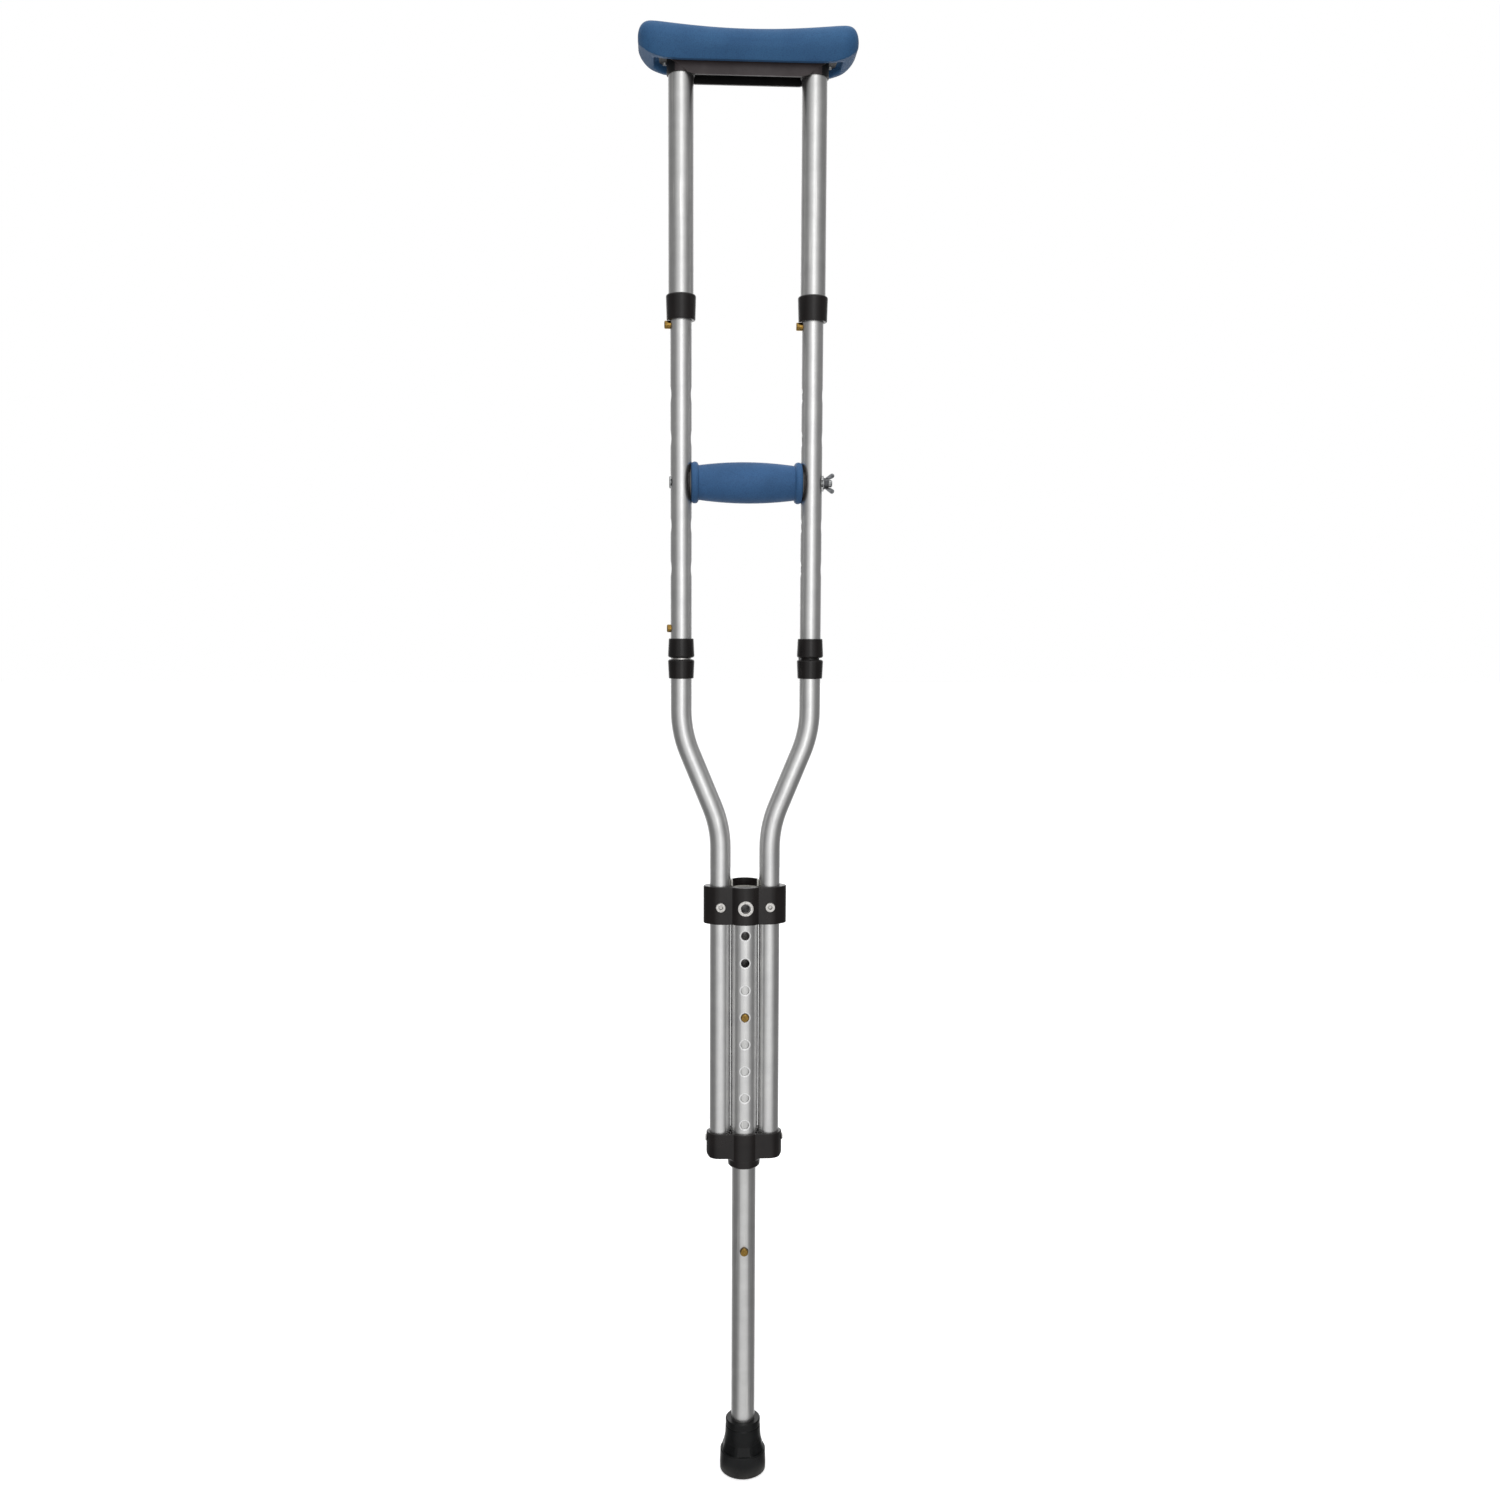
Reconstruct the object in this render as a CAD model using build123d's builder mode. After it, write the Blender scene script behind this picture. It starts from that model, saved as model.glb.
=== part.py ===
from build123d import *
import os

# A folding, height-adjustable underarm crutch, in millimetres.
# +Z is up, -Y is the front, +X is the right side as seen from the front.
# The origin is the centre of the rubber tip's sole.

os.makedirs("parts", exist_ok=True)

# ---------------------------------------------------------------- driving dimensions
INCH = 25.4
HOLE_PITCH = INCH  # height settings of the leg
GRIP_PITCH = 1.5 * INCH  # height settings of the hand grip

CENTRE_OD = INCH  # the tube that the leg slides in
LEG_OD = 7 / 8 * INCH
FRAME_OD = 3 / 4 * INCH  # bow tubes and middle tubes
UPPER_OD = 7 / 8 * INCH
WALL = 1.2  # wall of every tube

FRAME_X = 58.15  # half the spacing of the two tubes at the hand
YOKE_X = 22.5  # half the spacing of the two tubes in the yokes

SIDES = {"left": -1, "right": 1}

# heights above the floor
LEG_BOTTOM = 16.0
LEG_TOP = 476.0
LOWER_YOKE_BOTTOM = 299.2
LOWER_WING_BOTTOM = 308.9
LOWER_YOKE_TOP = 332.1
TOP_HOLE_Z = 544.2
UPPER_YOKE_BOTTOM = 529.3
UPPER_YOKE_TOP = 563.9
CENTRE_TOP = 560.0
LOWER_BEND_Z = 618.2
UPPER_BEND_Z = 704.6
FOLD_Z = 771.1
GRIP_Z = 927.4
TOP_BUTTON_Z = 1064.0
UPPER_TUBE_BOTTOM = 1070.0
MIDDLE_TOP = 1125.0
SADDLE_BOTTOM = 1271.8
SADDLE_TOP = 1289.7
PAD_BOTTOM = 1281.5
PAD_END_TOP = 1313.5
PAD_MID_TOP = 1308.0

# snap buttons
HOLE_COUNT = 9
BUTTON_HOLE = 5  # the hole that holds the leg at rest, counted from the top
BUTTON_SPACING = 8.8 * HOLE_PITCH  # between the leg's two buttons
LEG_HOLE_R = 4.0
LEG_BUTTON_R = 3.75
SNAP_HOLE_R = 3.7
SNAP_BUTTON_R = 3.5

# fold hinge behind the tubes
HINGE_Y = 16.0
KNUCKLE_R = 3.5
PIN_R = 1.5
FOLD_GAP = 1.5  # between the two collars that meet at the fold


def ring(plane, outer_r, inner_r):
    """A sketch of a tube's section on a plane."""
    with BuildSketch(plane) as section:
        Circle(outer_r)
        Circle(inner_r, mode=Mode.SUBTRACT)
    return section.sketch


def at(x, z, y=0.0):
    """A level plane at a place."""
    return Plane(origin=(x, y, z), z_dir=(0, 0, 1))


def facing_front(x, z, y=0.0):
    """A plane whose normal points to the front."""
    return Plane(origin=(x, y, z), x_dir=(1, 0, 0), z_dir=(0, -1, 0))


def facing_side(x, z, sign):
    """A plane whose normal points along X, out of the side with that sign."""
    return Plane(origin=(x, 0, z), x_dir=(0, 1, 0), z_dir=(sign, 0, 0))


# ---------------------------------------------------------------- foot
TIP_TOP = 50.5
TIP_FLOOR = 14.0
WASHER_THICK = LEG_BOTTOM - TIP_FLOOR
TIP_BASE_R = 21.7
TIP_RING_R = 16.3
TIP_NECK_TOP_R = 16.4
TIP_NECK_LOW_R = 17.6
SOLE_RINGS = (7.0, 12.0, 17.0)
NECK_FACETS = 8
LEDGE_Z = 19.5
TIP_SHOULDER_Z = 29.0
TIP_WAIST_Z = 36.0
TIP_NECK_TOP_Z = 43.2  # under the ring round the mouth
FACET_HEIGHT = 22.0
FACET_KNEE = 8.0  # where the facets steepen
SOLE_CHAMFER = 1.2
GROOVE_WIDTH = 2.0
GROOVE_DEPTH = 1.6

with BuildPart() as neck_facets:
    Cylinder(2 * TIP_BASE_R, FACET_HEIGHT, align=(Align.CENTER, Align.CENTER, Align.MIN))
    for height, apothem in (
        (0, TIP_BASE_R - 2 * SOLE_CHAMFER),
        (FACET_KNEE, TIP_NECK_LOW_R - 0.5),
        (FACET_HEIGHT, TIP_NECK_TOP_R),
    ):
        with BuildSketch(Plane.XY.offset(height)):
            RegularPolygon(apothem, NECK_FACETS, major_radius=False, rotation=180 / NECK_FACETS)
    loft(ruled=True, mode=Mode.SUBTRACT)

with BuildPart() as foot_tip:
    with BuildSketch(Plane.XZ):
        with BuildLine():
            Polyline((0, TIP_FLOOR), (0, 0), (TIP_BASE_R - SOLE_CHAMFER, 0))
            Line((TIP_BASE_R - SOLE_CHAMFER, 0), (TIP_BASE_R - 0.2, 1.0))
            Line((TIP_BASE_R - 0.2, 1.0), (TIP_BASE_R, 6.0))
            Line((TIP_BASE_R, 6.0), (TIP_BASE_R - 0.4, LEDGE_Z))
            Line((TIP_BASE_R - 0.4, LEDGE_Z), (TIP_BASE_R - 1.1, LEDGE_Z + 0.7))
            Spline(
                (TIP_BASE_R - 1.1, LEDGE_Z + 0.7),
                (TIP_BASE_R - 2.1, LEDGE_Z + 4.0),
                (TIP_NECK_LOW_R + 0.4, TIP_SHOULDER_Z),
                (TIP_NECK_TOP_R + 0.3, TIP_WAIST_Z),
                tangents=((-0.1, 1), (-0.05, 1)),
            )
            Line((TIP_NECK_TOP_R + 0.3, TIP_WAIST_Z), (TIP_NECK_TOP_R, TIP_NECK_TOP_Z))
            Line((TIP_NECK_TOP_R, TIP_NECK_TOP_Z), (TIP_NECK_TOP_R - 0.5, TIP_NECK_TOP_Z + 1.0))
            Line((TIP_NECK_TOP_R - 0.5, TIP_NECK_TOP_Z + 1.0), (TIP_RING_R, TIP_NECK_TOP_Z + 2.0))
            Line((TIP_RING_R, TIP_NECK_TOP_Z + 2.0), (TIP_RING_R, TIP_TOP - 0.8))
            Line((TIP_RING_R, TIP_TOP - 0.8), (TIP_RING_R - 0.8, TIP_TOP))
            Line((TIP_RING_R - 0.8, TIP_TOP), (LEG_OD / 2, TIP_TOP))
            Line((LEG_OD / 2, TIP_TOP), (LEG_OD / 2, TIP_FLOOR))
            Line((LEG_OD / 2, TIP_FLOOR), (0, TIP_FLOOR))
        make_face()
    revolve(axis=Axis.Z)
    add(neck_facets.part.moved(Location((0, 0, LEDGE_Z + 1.5))), mode=Mode.SUBTRACT)
    with BuildSketch(Plane.XY):
        for groove_r in SOLE_RINGS:
            Circle(groove_r)
            Circle(groove_r - GROOVE_WIDTH, mode=Mode.SUBTRACT)
    extrude(amount=GROOVE_DEPTH, mode=Mode.SUBTRACT)
foot_tip.part.label = "foot_tip"
export_step(foot_tip.part, "parts/foot_tip.step")

with BuildPart() as tip_washer:
    with BuildSketch(Plane.XY.offset(TIP_FLOOR)):
        Circle(LEG_OD / 2 - 0.1)
    extrude(amount=WASHER_THICK)
    chamfer(tip_washer.edges(), length=0.3)
tip_washer.part.label = "tip_washer"
export_step(tip_washer.part, "parts/tip_washer.step")

# ---------------------------------------------------------------- leg
BUTTON_Z = TOP_HOLE_Z - (BUTTON_HOLE - 1) * HOLE_PITCH
LEG_BUTTONS = {"upper": BUTTON_Z, "lower": BUTTON_Z - BUTTON_SPACING}
LEG_ID = LEG_OD - 2 * WALL
BUSH_LIP_R = CENTRE_OD / 2 - WALL - 0.1  # runs in the centre tube
BUSH_PLUG = 14.0  # length inside the leg
BUSH_HEAD = 5.0
BUSH_WALL = 2.0
BUSH_BORE_DEPTH = 16.5

with BuildPart() as leg_tube:
    add(ring(at(0, LEG_BOTTOM), LEG_OD / 2, LEG_ID / 2))
    extrude(amount=LEG_TOP - LEG_BOTTOM)
    for height in LEG_BUTTONS.values():
        with BuildSketch(facing_front(0, height)):
            Circle(LEG_HOLE_R)
        extrude(amount=LEG_OD, mode=Mode.SUBTRACT)
leg_tube.part.label = "leg_tube"
export_step(leg_tube.part, "parts/leg_tube.step")

with BuildPart() as leg_top_bush:
    with BuildSketch(at(0, LEG_TOP - BUSH_PLUG)):
        Circle(LEG_ID / 2)
    extrude(amount=BUSH_PLUG)
    with BuildSketch(at(0, LEG_TOP)):
        Circle(BUSH_LIP_R)
    extrude(amount=BUSH_HEAD)
    chamfer(leg_top_bush.edges().group_by(Axis.Z)[-1], length=1.0)
    with BuildSketch(at(0, LEG_TOP - BUSH_PLUG)):
        Circle(LEG_ID / 2 - BUSH_WALL)
    extrude(amount=BUSH_BORE_DEPTH, mode=Mode.SUBTRACT)
leg_top_bush.part.label = "leg_top_bush"
export_step(leg_top_bush.part, "parts/leg_top_bush.step")

# ---------------------------------------------------------------- snap buttons and their springs
SPRING_THICK = 0.6
SPRING_BEND_R = 2.0
TAPER_START = 0.4  # share of a spring's length under its button where the arms turn inward
LEG_SPRING_REACH = 8.5  # from the tube's axis to the middle of the spring's arm
LEG_SPRING_WIDTH = 6.0
LEG_SPRING_UP = 10.0  # from the button to the arms' ends
LEG_SPRING_DOWN = 24.0  # from the button to the bend
FRAME_SPRING_REACH = 7.2
FRAME_SPRING_WIDTH = 5.0
FRAME_SPRING_UP = 9.0
FRAME_SPRING_DOWN = 22.0
BUTTON_DOME = 1.0


def hairpin_spring(plane, reach, width, up, down):
    """A strip bent to a narrow U, drawn on a plane through the tube's axis."""
    with BuildPart() as spring:
        with BuildSketch(plane):
            with BuildLine():
                FilletPolyline(
                    (reach, up),
                    (reach, -TAPER_START * down),
                    (0, -down),
                    (-reach, -TAPER_START * down),
                    (-reach, up),
                    radius=SPRING_BEND_R,
                )
            trace(line_width=SPRING_THICK)
        extrude(amount=width / 2, both=True)
    return spring.part


LEG_BUTTON_BASE = LEG_SPRING_REACH + SPRING_THICK
LEG_BUTTON_TIP = 14.3
for place, height in LEG_BUTTONS.items():
    with BuildPart() as leg_button:
        with BuildSketch(facing_front(0, height).offset(LEG_BUTTON_BASE)):
            Circle(LEG_BUTTON_R)
        extrude(amount=LEG_BUTTON_TIP - LEG_BUTTON_BASE)
        fillet(leg_button.edges().group_by(Axis.Y)[0], radius=BUTTON_DOME)
    leg_button.part.label = "leg_button_" + place
    export_step(leg_button.part, "parts/leg_button_" + place + ".step")

    spring_plane = Plane(origin=(0, 0, height), x_dir=(0, -1, 0), z_dir=(1, 0, 0))
    spring_part = hairpin_spring(
        spring_plane, LEG_SPRING_REACH, LEG_SPRING_WIDTH, LEG_SPRING_UP, LEG_SPRING_DOWN
    )
    spring_part.label = "leg_button_spring_" + place
    export_step(spring_part, "parts/leg_button_spring_" + place + ".step")

# ---------------------------------------------------------------- centre tube
CENTRE_ID = CENTRE_OD - 2 * WALL
COUNTERSINK = 0.55
CENTRE_BOTTOM = LOWER_YOKE_BOTTOM + 1.5  # rests on a ledge in the lower yoke

with BuildPart() as centre_tube:
    add(ring(at(0, CENTRE_BOTTOM), CENTRE_OD / 2, CENTRE_ID / 2))
    extrude(amount=CENTRE_TOP - CENTRE_BOTTOM)
    for number in range(HOLE_COUNT):
        hole_z = TOP_HOLE_Z - number * HOLE_PITCH
        with BuildSketch(facing_front(0, hole_z)):
            Circle(LEG_HOLE_R)
        extrude(amount=CENTRE_OD, mode=Mode.SUBTRACT)
        rim_plane = facing_front(0, hole_z, -CENTRE_OD / 2 - COUNTERSINK)
        with BuildSketch(rim_plane):
            Circle(LEG_HOLE_R + 2 * COUNTERSINK)
        extrude(amount=-2 * COUNTERSINK, taper=45, mode=Mode.SUBTRACT)
centre_tube.part.label = "centre_tube"
export_step(centre_tube.part, "parts/centre_tube.step")

# ---------------------------------------------------------------- bow tubes
BEND_R = 100.0
WING_FLOOR = 2.1  # closes the lower yoke under the bow tubes
BOW_BOTTOM = LOWER_WING_BOTTOM + WING_FLOOR
COLLAR_FACE = FOLD_GAP / 2
BOW_TOP = FOLD_Z - COLLAR_FACE
FRAME_ID = FRAME_OD - 2 * WALL
RIVET_Z = 545.5
RIVET_SHANK_R = 2.4
LOWER_RIVET_Z = 326.0
LOWER_RIVET_R = 1.6

for side, sign in SIDES.items():
    with BuildPart() as bow_tube:
        with BuildLine() as bow_path:
            FilletPolyline(
                (sign * YOKE_X, 0, BOW_BOTTOM),
                (sign * YOKE_X, 0, LOWER_BEND_Z),
                (sign * FRAME_X, 0, UPPER_BEND_Z),
                (sign * FRAME_X, 0, BOW_TOP),
                radius=BEND_R,
            )
        add(ring(at(sign * YOKE_X, BOW_BOTTOM), FRAME_OD / 2, FRAME_ID / 2))
        sweep(path=bow_path.line)
        with BuildSketch(facing_front(sign * YOKE_X, RIVET_Z)):
            Circle(RIVET_SHANK_R)
        extrude(amount=FRAME_OD, both=True, mode=Mode.SUBTRACT)
        with BuildSketch(facing_side(sign * YOKE_X, LOWER_RIVET_Z, sign)):
            Circle(LOWER_RIVET_R)
        extrude(amount=FRAME_OD, mode=Mode.SUBTRACT)
    bow_tube.part.label = "bow_tube_" + side
    export_step(bow_tube.part, "parts/bow_tube_" + side + ".step")

# ---------------------------------------------------------------- yokes that tie the three tubes
UPPER_YOKE_HALF = 38.0
UPPER_SIDE_LOBE_R = 12.4
UPPER_CENTRE_LOBE_R = 17.2
LOWER_YOKE_HALF = 35.0
LOWER_SIDE_LOBE_R = 12.0
LOWER_CENTRE_LOBE_R = 15.6
BOSS_R = 15.0
WING_CORNER_R = 4.5
EYELET_R = 6.9
EYELET_HOLE_R = 4.5
EYELET_Z = TOP_HOLE_Z + 1.0
EYELET_PROUD = 1.0
EYELET_DISH = 3.0
YOKE_EDGE_R = 0.9
EAR_SHARE = 0.7  # radius of a yoke's ears over that of its side lobes
REAR_BAND_ROOT = 3.0  # how far the rear band reaches down into the upper yoke
REAR_BAND_HEIGHT = 7.5
REAR_BAND_INSET = 2.5
CHANNEL_WIDTH = 6.0
BOSS_CHAMFER = 1.3
BOSS_FLARE = 4.5
BOSS_OVERLAP = 0.4


def three_lobes(half_length, side_r, centre_r):
    """The outline of a yoke: a band round the outer tubes, an ear at each end and a centre lobe."""
    ear_r = EAR_SHARE * side_r
    with BuildSketch() as outline:
        with Locations((YOKE_X, 0), (-YOKE_X, 0)):
            Circle(side_r)
        with Locations((half_length - ear_r, 0), (ear_r - half_length, 0)):
            Circle(ear_r)
        make_hull()
        Circle(centre_r)
        fillet(outline.vertices().filter_by(lambda corner: abs(corner.X) < centre_r), radius=1.0)
    return outline.sketch


def tube_channels():
    """The bores of the three tubes, joined where they all but touch."""
    with BuildSketch() as channels:
        Circle(CENTRE_OD / 2)
        Rectangle(2 * YOKE_X - FRAME_OD + 2.0, CHANNEL_WIDTH)
        with Locations((YOKE_X, 0), (-YOKE_X, 0)):
            Circle(FRAME_OD / 2)
    return channels.sketch


with BuildPart() as upper_yoke:
    with BuildSketch(Plane.XY.offset(UPPER_YOKE_BOTTOM)):
        add(three_lobes(UPPER_YOKE_HALF, UPPER_SIDE_LOBE_R, UPPER_CENTRE_LOBE_R))
    extrude(amount=UPPER_YOKE_TOP - UPPER_YOKE_BOTTOM)
    fillet(upper_yoke.edges().group_by(Axis.Z)[-1], radius=YOKE_EDGE_R)
    fillet(upper_yoke.edges().group_by(Axis.Z)[0], radius=YOKE_EDGE_R)
    # the rear half of the centre collar stands proud of the top
    with BuildSketch(Plane.XY.offset(UPPER_YOKE_TOP - REAR_BAND_ROOT)):
        Circle(UPPER_CENTRE_LOBE_R - REAR_BAND_INSET)
        with Locations((0, -UPPER_CENTRE_LOBE_R)):
            Rectangle(3 * UPPER_CENTRE_LOBE_R, 2 * UPPER_CENTRE_LOBE_R, mode=Mode.SUBTRACT)
    extrude(amount=REAR_BAND_HEIGHT)
    with BuildSketch(Plane.XY.offset(UPPER_YOKE_BOTTOM)):
        add(tube_channels())
    extrude(amount=2 * (UPPER_YOKE_TOP - UPPER_YOKE_BOTTOM), mode=Mode.SUBTRACT)
    with BuildSketch(facing_front(0, EYELET_Z)):
        Circle(EYELET_R)
    extrude(amount=2 * UPPER_CENTRE_LOBE_R, mode=Mode.SUBTRACT)
    for sign in SIDES.values():
        with BuildSketch(facing_front(sign * YOKE_X, RIVET_Z)):
            Circle(RIVET_SHANK_R)
        extrude(amount=2 * UPPER_SIDE_LOBE_R, both=True, mode=Mode.SUBTRACT)
upper_yoke.part.label = "upper_yoke"
export_step(upper_yoke.part, "parts/upper_yoke.step")

with BuildPart() as lower_yoke:
    with BuildSketch(Plane.XY.offset(LOWER_WING_BOTTOM)):
        add(three_lobes(LOWER_YOKE_HALF, LOWER_SIDE_LOBE_R, LOWER_CENTRE_LOBE_R))
    extrude(amount=LOWER_YOKE_TOP - LOWER_WING_BOTTOM)
    chamfer(lower_yoke.edges().group_by(Axis.Z)[-1], length=0.5)
    # the wings' lower corners are rounded as seen from the front
    with BuildSketch(facing_front(0, 0)):
        with Locations((0, LOWER_WING_BOTTOM + LOWER_YOKE_HALF)):
            RectangleRounded(2 * LOWER_YOKE_HALF, 2 * LOWER_YOKE_HALF, WING_CORNER_R)
    extrude(amount=LOWER_YOKE_HALF, both=True, mode=Mode.INTERSECT)
    # the boss under the wings, with a flare where it meets them
    with BuildSketch(Plane.XZ):
        with BuildLine():
            boss_top = LOWER_WING_BOTTOM + BOSS_OVERLAP
            flare_bottom = LOWER_WING_BOTTOM - BOSS_FLARE
            rim_r = BOSS_R - 0.3
            rim_z = LOWER_YOKE_BOTTOM + BOSS_CHAMFER
            Line((0, LOWER_YOKE_BOTTOM), (rim_r - BOSS_CHAMFER, LOWER_YOKE_BOTTOM))
            Line((rim_r - BOSS_CHAMFER, LOWER_YOKE_BOTTOM), (rim_r, rim_z))
            Line((rim_r, rim_z), (BOSS_R, flare_bottom))
            TangentArc((BOSS_R, flare_bottom), (BOSS_R + BOSS_FLARE, boss_top), tangent=(0, 1))
            Line((BOSS_R + BOSS_FLARE, boss_top), (0, boss_top))
            Line((0, boss_top), (0, LOWER_YOKE_BOTTOM))
        make_face()
    revolve(axis=Axis.Z)
    with BuildSketch(Plane.XY.offset(LOWER_YOKE_BOTTOM - 1.0)):
        Rectangle(6 * BOSS_R, 6 * BOSS_R)
        add(three_lobes(LOWER_YOKE_HALF, LOWER_SIDE_LOBE_R, LOWER_CENTRE_LOBE_R), mode=Mode.SUBTRACT)
    extrude(amount=LOWER_YOKE_TOP, mode=Mode.SUBTRACT)
    with BuildSketch(Plane.XY.offset(BOW_BOTTOM)):
        add(tube_channels())
    extrude(amount=2 * (LOWER_YOKE_TOP - BOW_BOTTOM), mode=Mode.SUBTRACT)
    with BuildSketch(Plane.XY.offset(LOWER_YOKE_BOTTOM)):
        Circle(CENTRE_ID / 2)
    extrude(amount=BOW_BOTTOM - LOWER_YOKE_BOTTOM, mode=Mode.SUBTRACT)
    with BuildSketch(Plane.XY.offset(CENTRE_BOTTOM)):
        Circle(CENTRE_OD / 2)
    extrude(amount=BOW_BOTTOM, mode=Mode.SUBTRACT)
    for sign in SIDES.values():
        with BuildSketch(facing_side(sign * YOKE_X, LOWER_RIVET_Z, sign)):
            Circle(LOWER_RIVET_R)
        extrude(amount=2 * LOWER_SIDE_LOBE_R, mode=Mode.SUBTRACT)
lower_yoke.part.label = "lower_yoke"
export_step(lower_yoke.part, "parts/lower_yoke.step")

with BuildPart() as yoke_eyelet:
    with BuildSketch(facing_front(0, EYELET_Z, -CENTRE_OD / 2 - 0.1)):
        Circle(EYELET_R)
        Circle(EYELET_HOLE_R, mode=Mode.SUBTRACT)
    extrude(amount=UPPER_CENTRE_LOBE_R - CENTRE_OD / 2 + EYELET_PROUD - 0.1)
    with BuildSketch(facing_front(0, EYELET_Z, -UPPER_CENTRE_LOBE_R - EYELET_PROUD + 0.2)):
        Circle(EYELET_R - 0.6)
    extrude(amount=-EYELET_DISH, taper=30, mode=Mode.SUBTRACT)
yoke_eyelet.part.label = "yoke_eyelet"
export_step(yoke_eyelet.part, "parts/yoke_eyelet.step")

GUIDE_TOP = 569.0
GUIDE_FLANGE = 1.2
GUIDE_EAR_WIDTH = 5.0

with BuildPart() as centre_guide:
    add(ring(at(0, CENTRE_TOP), CENTRE_OD / 2, CENTRE_ID / 2))
    extrude(amount=GUIDE_TOP - CENTRE_TOP)
    # only an ear on each side stands above the yoke
    for y_sign in (-1, 1):
        with BuildSketch(at(0, CENTRE_TOP + GUIDE_FLANGE, y_sign * CENTRE_OD / 2)):
            Rectangle(2 * CENTRE_OD, CENTRE_OD - GUIDE_EAR_WIDTH)
        extrude(amount=GUIDE_TOP, mode=Mode.SUBTRACT)
centre_guide.part.label = "centre_guide"
export_step(centre_guide.part, "parts/centre_guide.step")

RIVET_HEAD_R = 4.7
RIVET_HEAD_THICK = 1.6
LOWER_RIVET_HEAD = 1.0

with BuildPart() as yoke_rivets:
    for sign in SIDES.values():
        with BuildSketch(facing_front(sign * YOKE_X, RIVET_Z, UPPER_SIDE_LOBE_R + RIVET_HEAD_THICK)):
            Circle(RIVET_SHANK_R - 0.1)
        extrude(amount=2 * (UPPER_SIDE_LOBE_R + RIVET_HEAD_THICK))
        for end in (-1, 1):
            face_y = end * UPPER_SIDE_LOBE_R
            with BuildSketch(facing_front(sign * YOKE_X, RIVET_Z, face_y)):
                Circle(RIVET_HEAD_R)
            extrude(amount=-end * RIVET_HEAD_THICK, taper=20)
            with BuildSketch(facing_front(sign * YOKE_X, RIVET_Z, face_y + end * RIVET_HEAD_THICK)):
                Circle(RIVET_SHANK_R - 0.4)
            extrude(amount=end * RIVET_HEAD_THICK, mode=Mode.SUBTRACT)
yoke_rivets.part.label = "yoke_rivets"
export_step(yoke_rivets.part, "parts/yoke_rivets.step")

with BuildPart() as lower_yoke_rivets:
    for sign in SIDES.values():
        tube_wall_x = YOKE_X + FRAME_OD / 2 - WALL
        with BuildSketch(facing_side(sign * tube_wall_x, LOWER_RIVET_Z, sign)):
            Circle(LOWER_RIVET_R - 0.1)
        extrude(amount=LOWER_YOKE_HALF - tube_wall_x)
        with BuildSketch(facing_side(sign * LOWER_YOKE_HALF, LOWER_RIVET_Z, sign)):
            Circle(2 * LOWER_RIVET_R)
        extrude(amount=LOWER_RIVET_HEAD, taper=20)
lower_yoke_rivets.part.label = "lower_yoke_rivets"
export_step(lower_yoke_rivets.part, "parts/lower_yoke_rivets.step")

# ---------------------------------------------------------------- fold collars, plugs and hinge pins
COLLAR_HEIGHT = 17.2
COLLAR_FACE_R = 12.0
COLLAR_FAR_R = 11.2
KNUCKLE_HALF = 4.0  # half the width of the lower knuckle
EAR_GAP = 0.3
EAR_OUTER = 8.0
WEB_HEIGHT = 7.5
MEETING_EDGE_R = 2.0
FAR_EDGE_R = 0.8
PIN_HEAD_R = 2.4
PIN_HEAD_THICK = 0.8


def fold_collar(x, up):
    """The sleeve at the fold, without its hinge: up is 1 above the fold and -1 below it."""
    face_z = FOLD_Z + up * COLLAR_FACE
    with BuildPart() as sleeve:
        with BuildSketch(at(x, face_z)):
            Circle(COLLAR_FACE_R)
        with BuildSketch(at(x, face_z + up * COLLAR_HEIGHT)):
            Circle(COLLAR_FAR_R)
        loft()
        meeting_edge = sleeve.edges().filter_by(GeomType.CIRCLE).sort_by(Axis.Z)[0 if up > 0 else -1]
        far_edge = sleeve.edges().filter_by(GeomType.CIRCLE).sort_by(Axis.Z)[-1 if up > 0 else 0]
        fillet(meeting_edge, radius=MEETING_EDGE_R)
        fillet(far_edge, radius=FAR_EDGE_R)
        with BuildSketch(at(x, face_z)):
            Circle(FRAME_OD / 2)
        extrude(amount=up * COLLAR_HEIGHT, mode=Mode.SUBTRACT)
    return sleeve.part


def hinge_lobe(x_from, x_to, up, x):
    """One knuckle round the hinge line, with the web that joins it to its collar."""
    web_z = FOLD_Z + up * (COLLAR_FACE + WEB_HEIGHT / 2)
    with BuildPart() as lobe:
        with BuildSketch(facing_side(x_from, FOLD_Z, 1)):
            with Locations((HINGE_Y, 0)):
                Circle(KNUCKLE_R)
        extrude(amount=x_to - x_from)
        with BuildSketch(facing_side(x_from, web_z, 1)):
            with Locations(((COLLAR_FACE_R + HINGE_Y) / 2 - 1.0, 0)):
                Rectangle(HINGE_Y - COLLAR_FACE_R + 2.0, WEB_HEIGHT)
        extrude(amount=x_to - x_from)
        with BuildSketch(at(x, FOLD_Z - 2 * COLLAR_HEIGHT)):
            Circle(COLLAR_FACE_R - 1.6)
        extrude(amount=4 * COLLAR_HEIGHT, mode=Mode.SUBTRACT)
    return lobe.part


PLUG_LENGTH = 26.0
PLUG_DISC_R = 8.6
PLUG_NOSE_R = 7.6
PLUG_TIP_R = 6.0
PLUG_NOSE = 6.0
PLUG_BORE_R = 3.5
PLUG_DISC_THICK = FOLD_GAP - 0.3
LATCH_Z = FOLD_Z + 3.4  # the groove that the latch's lip sits in
LATCH_GROOVE = 1.6

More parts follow.
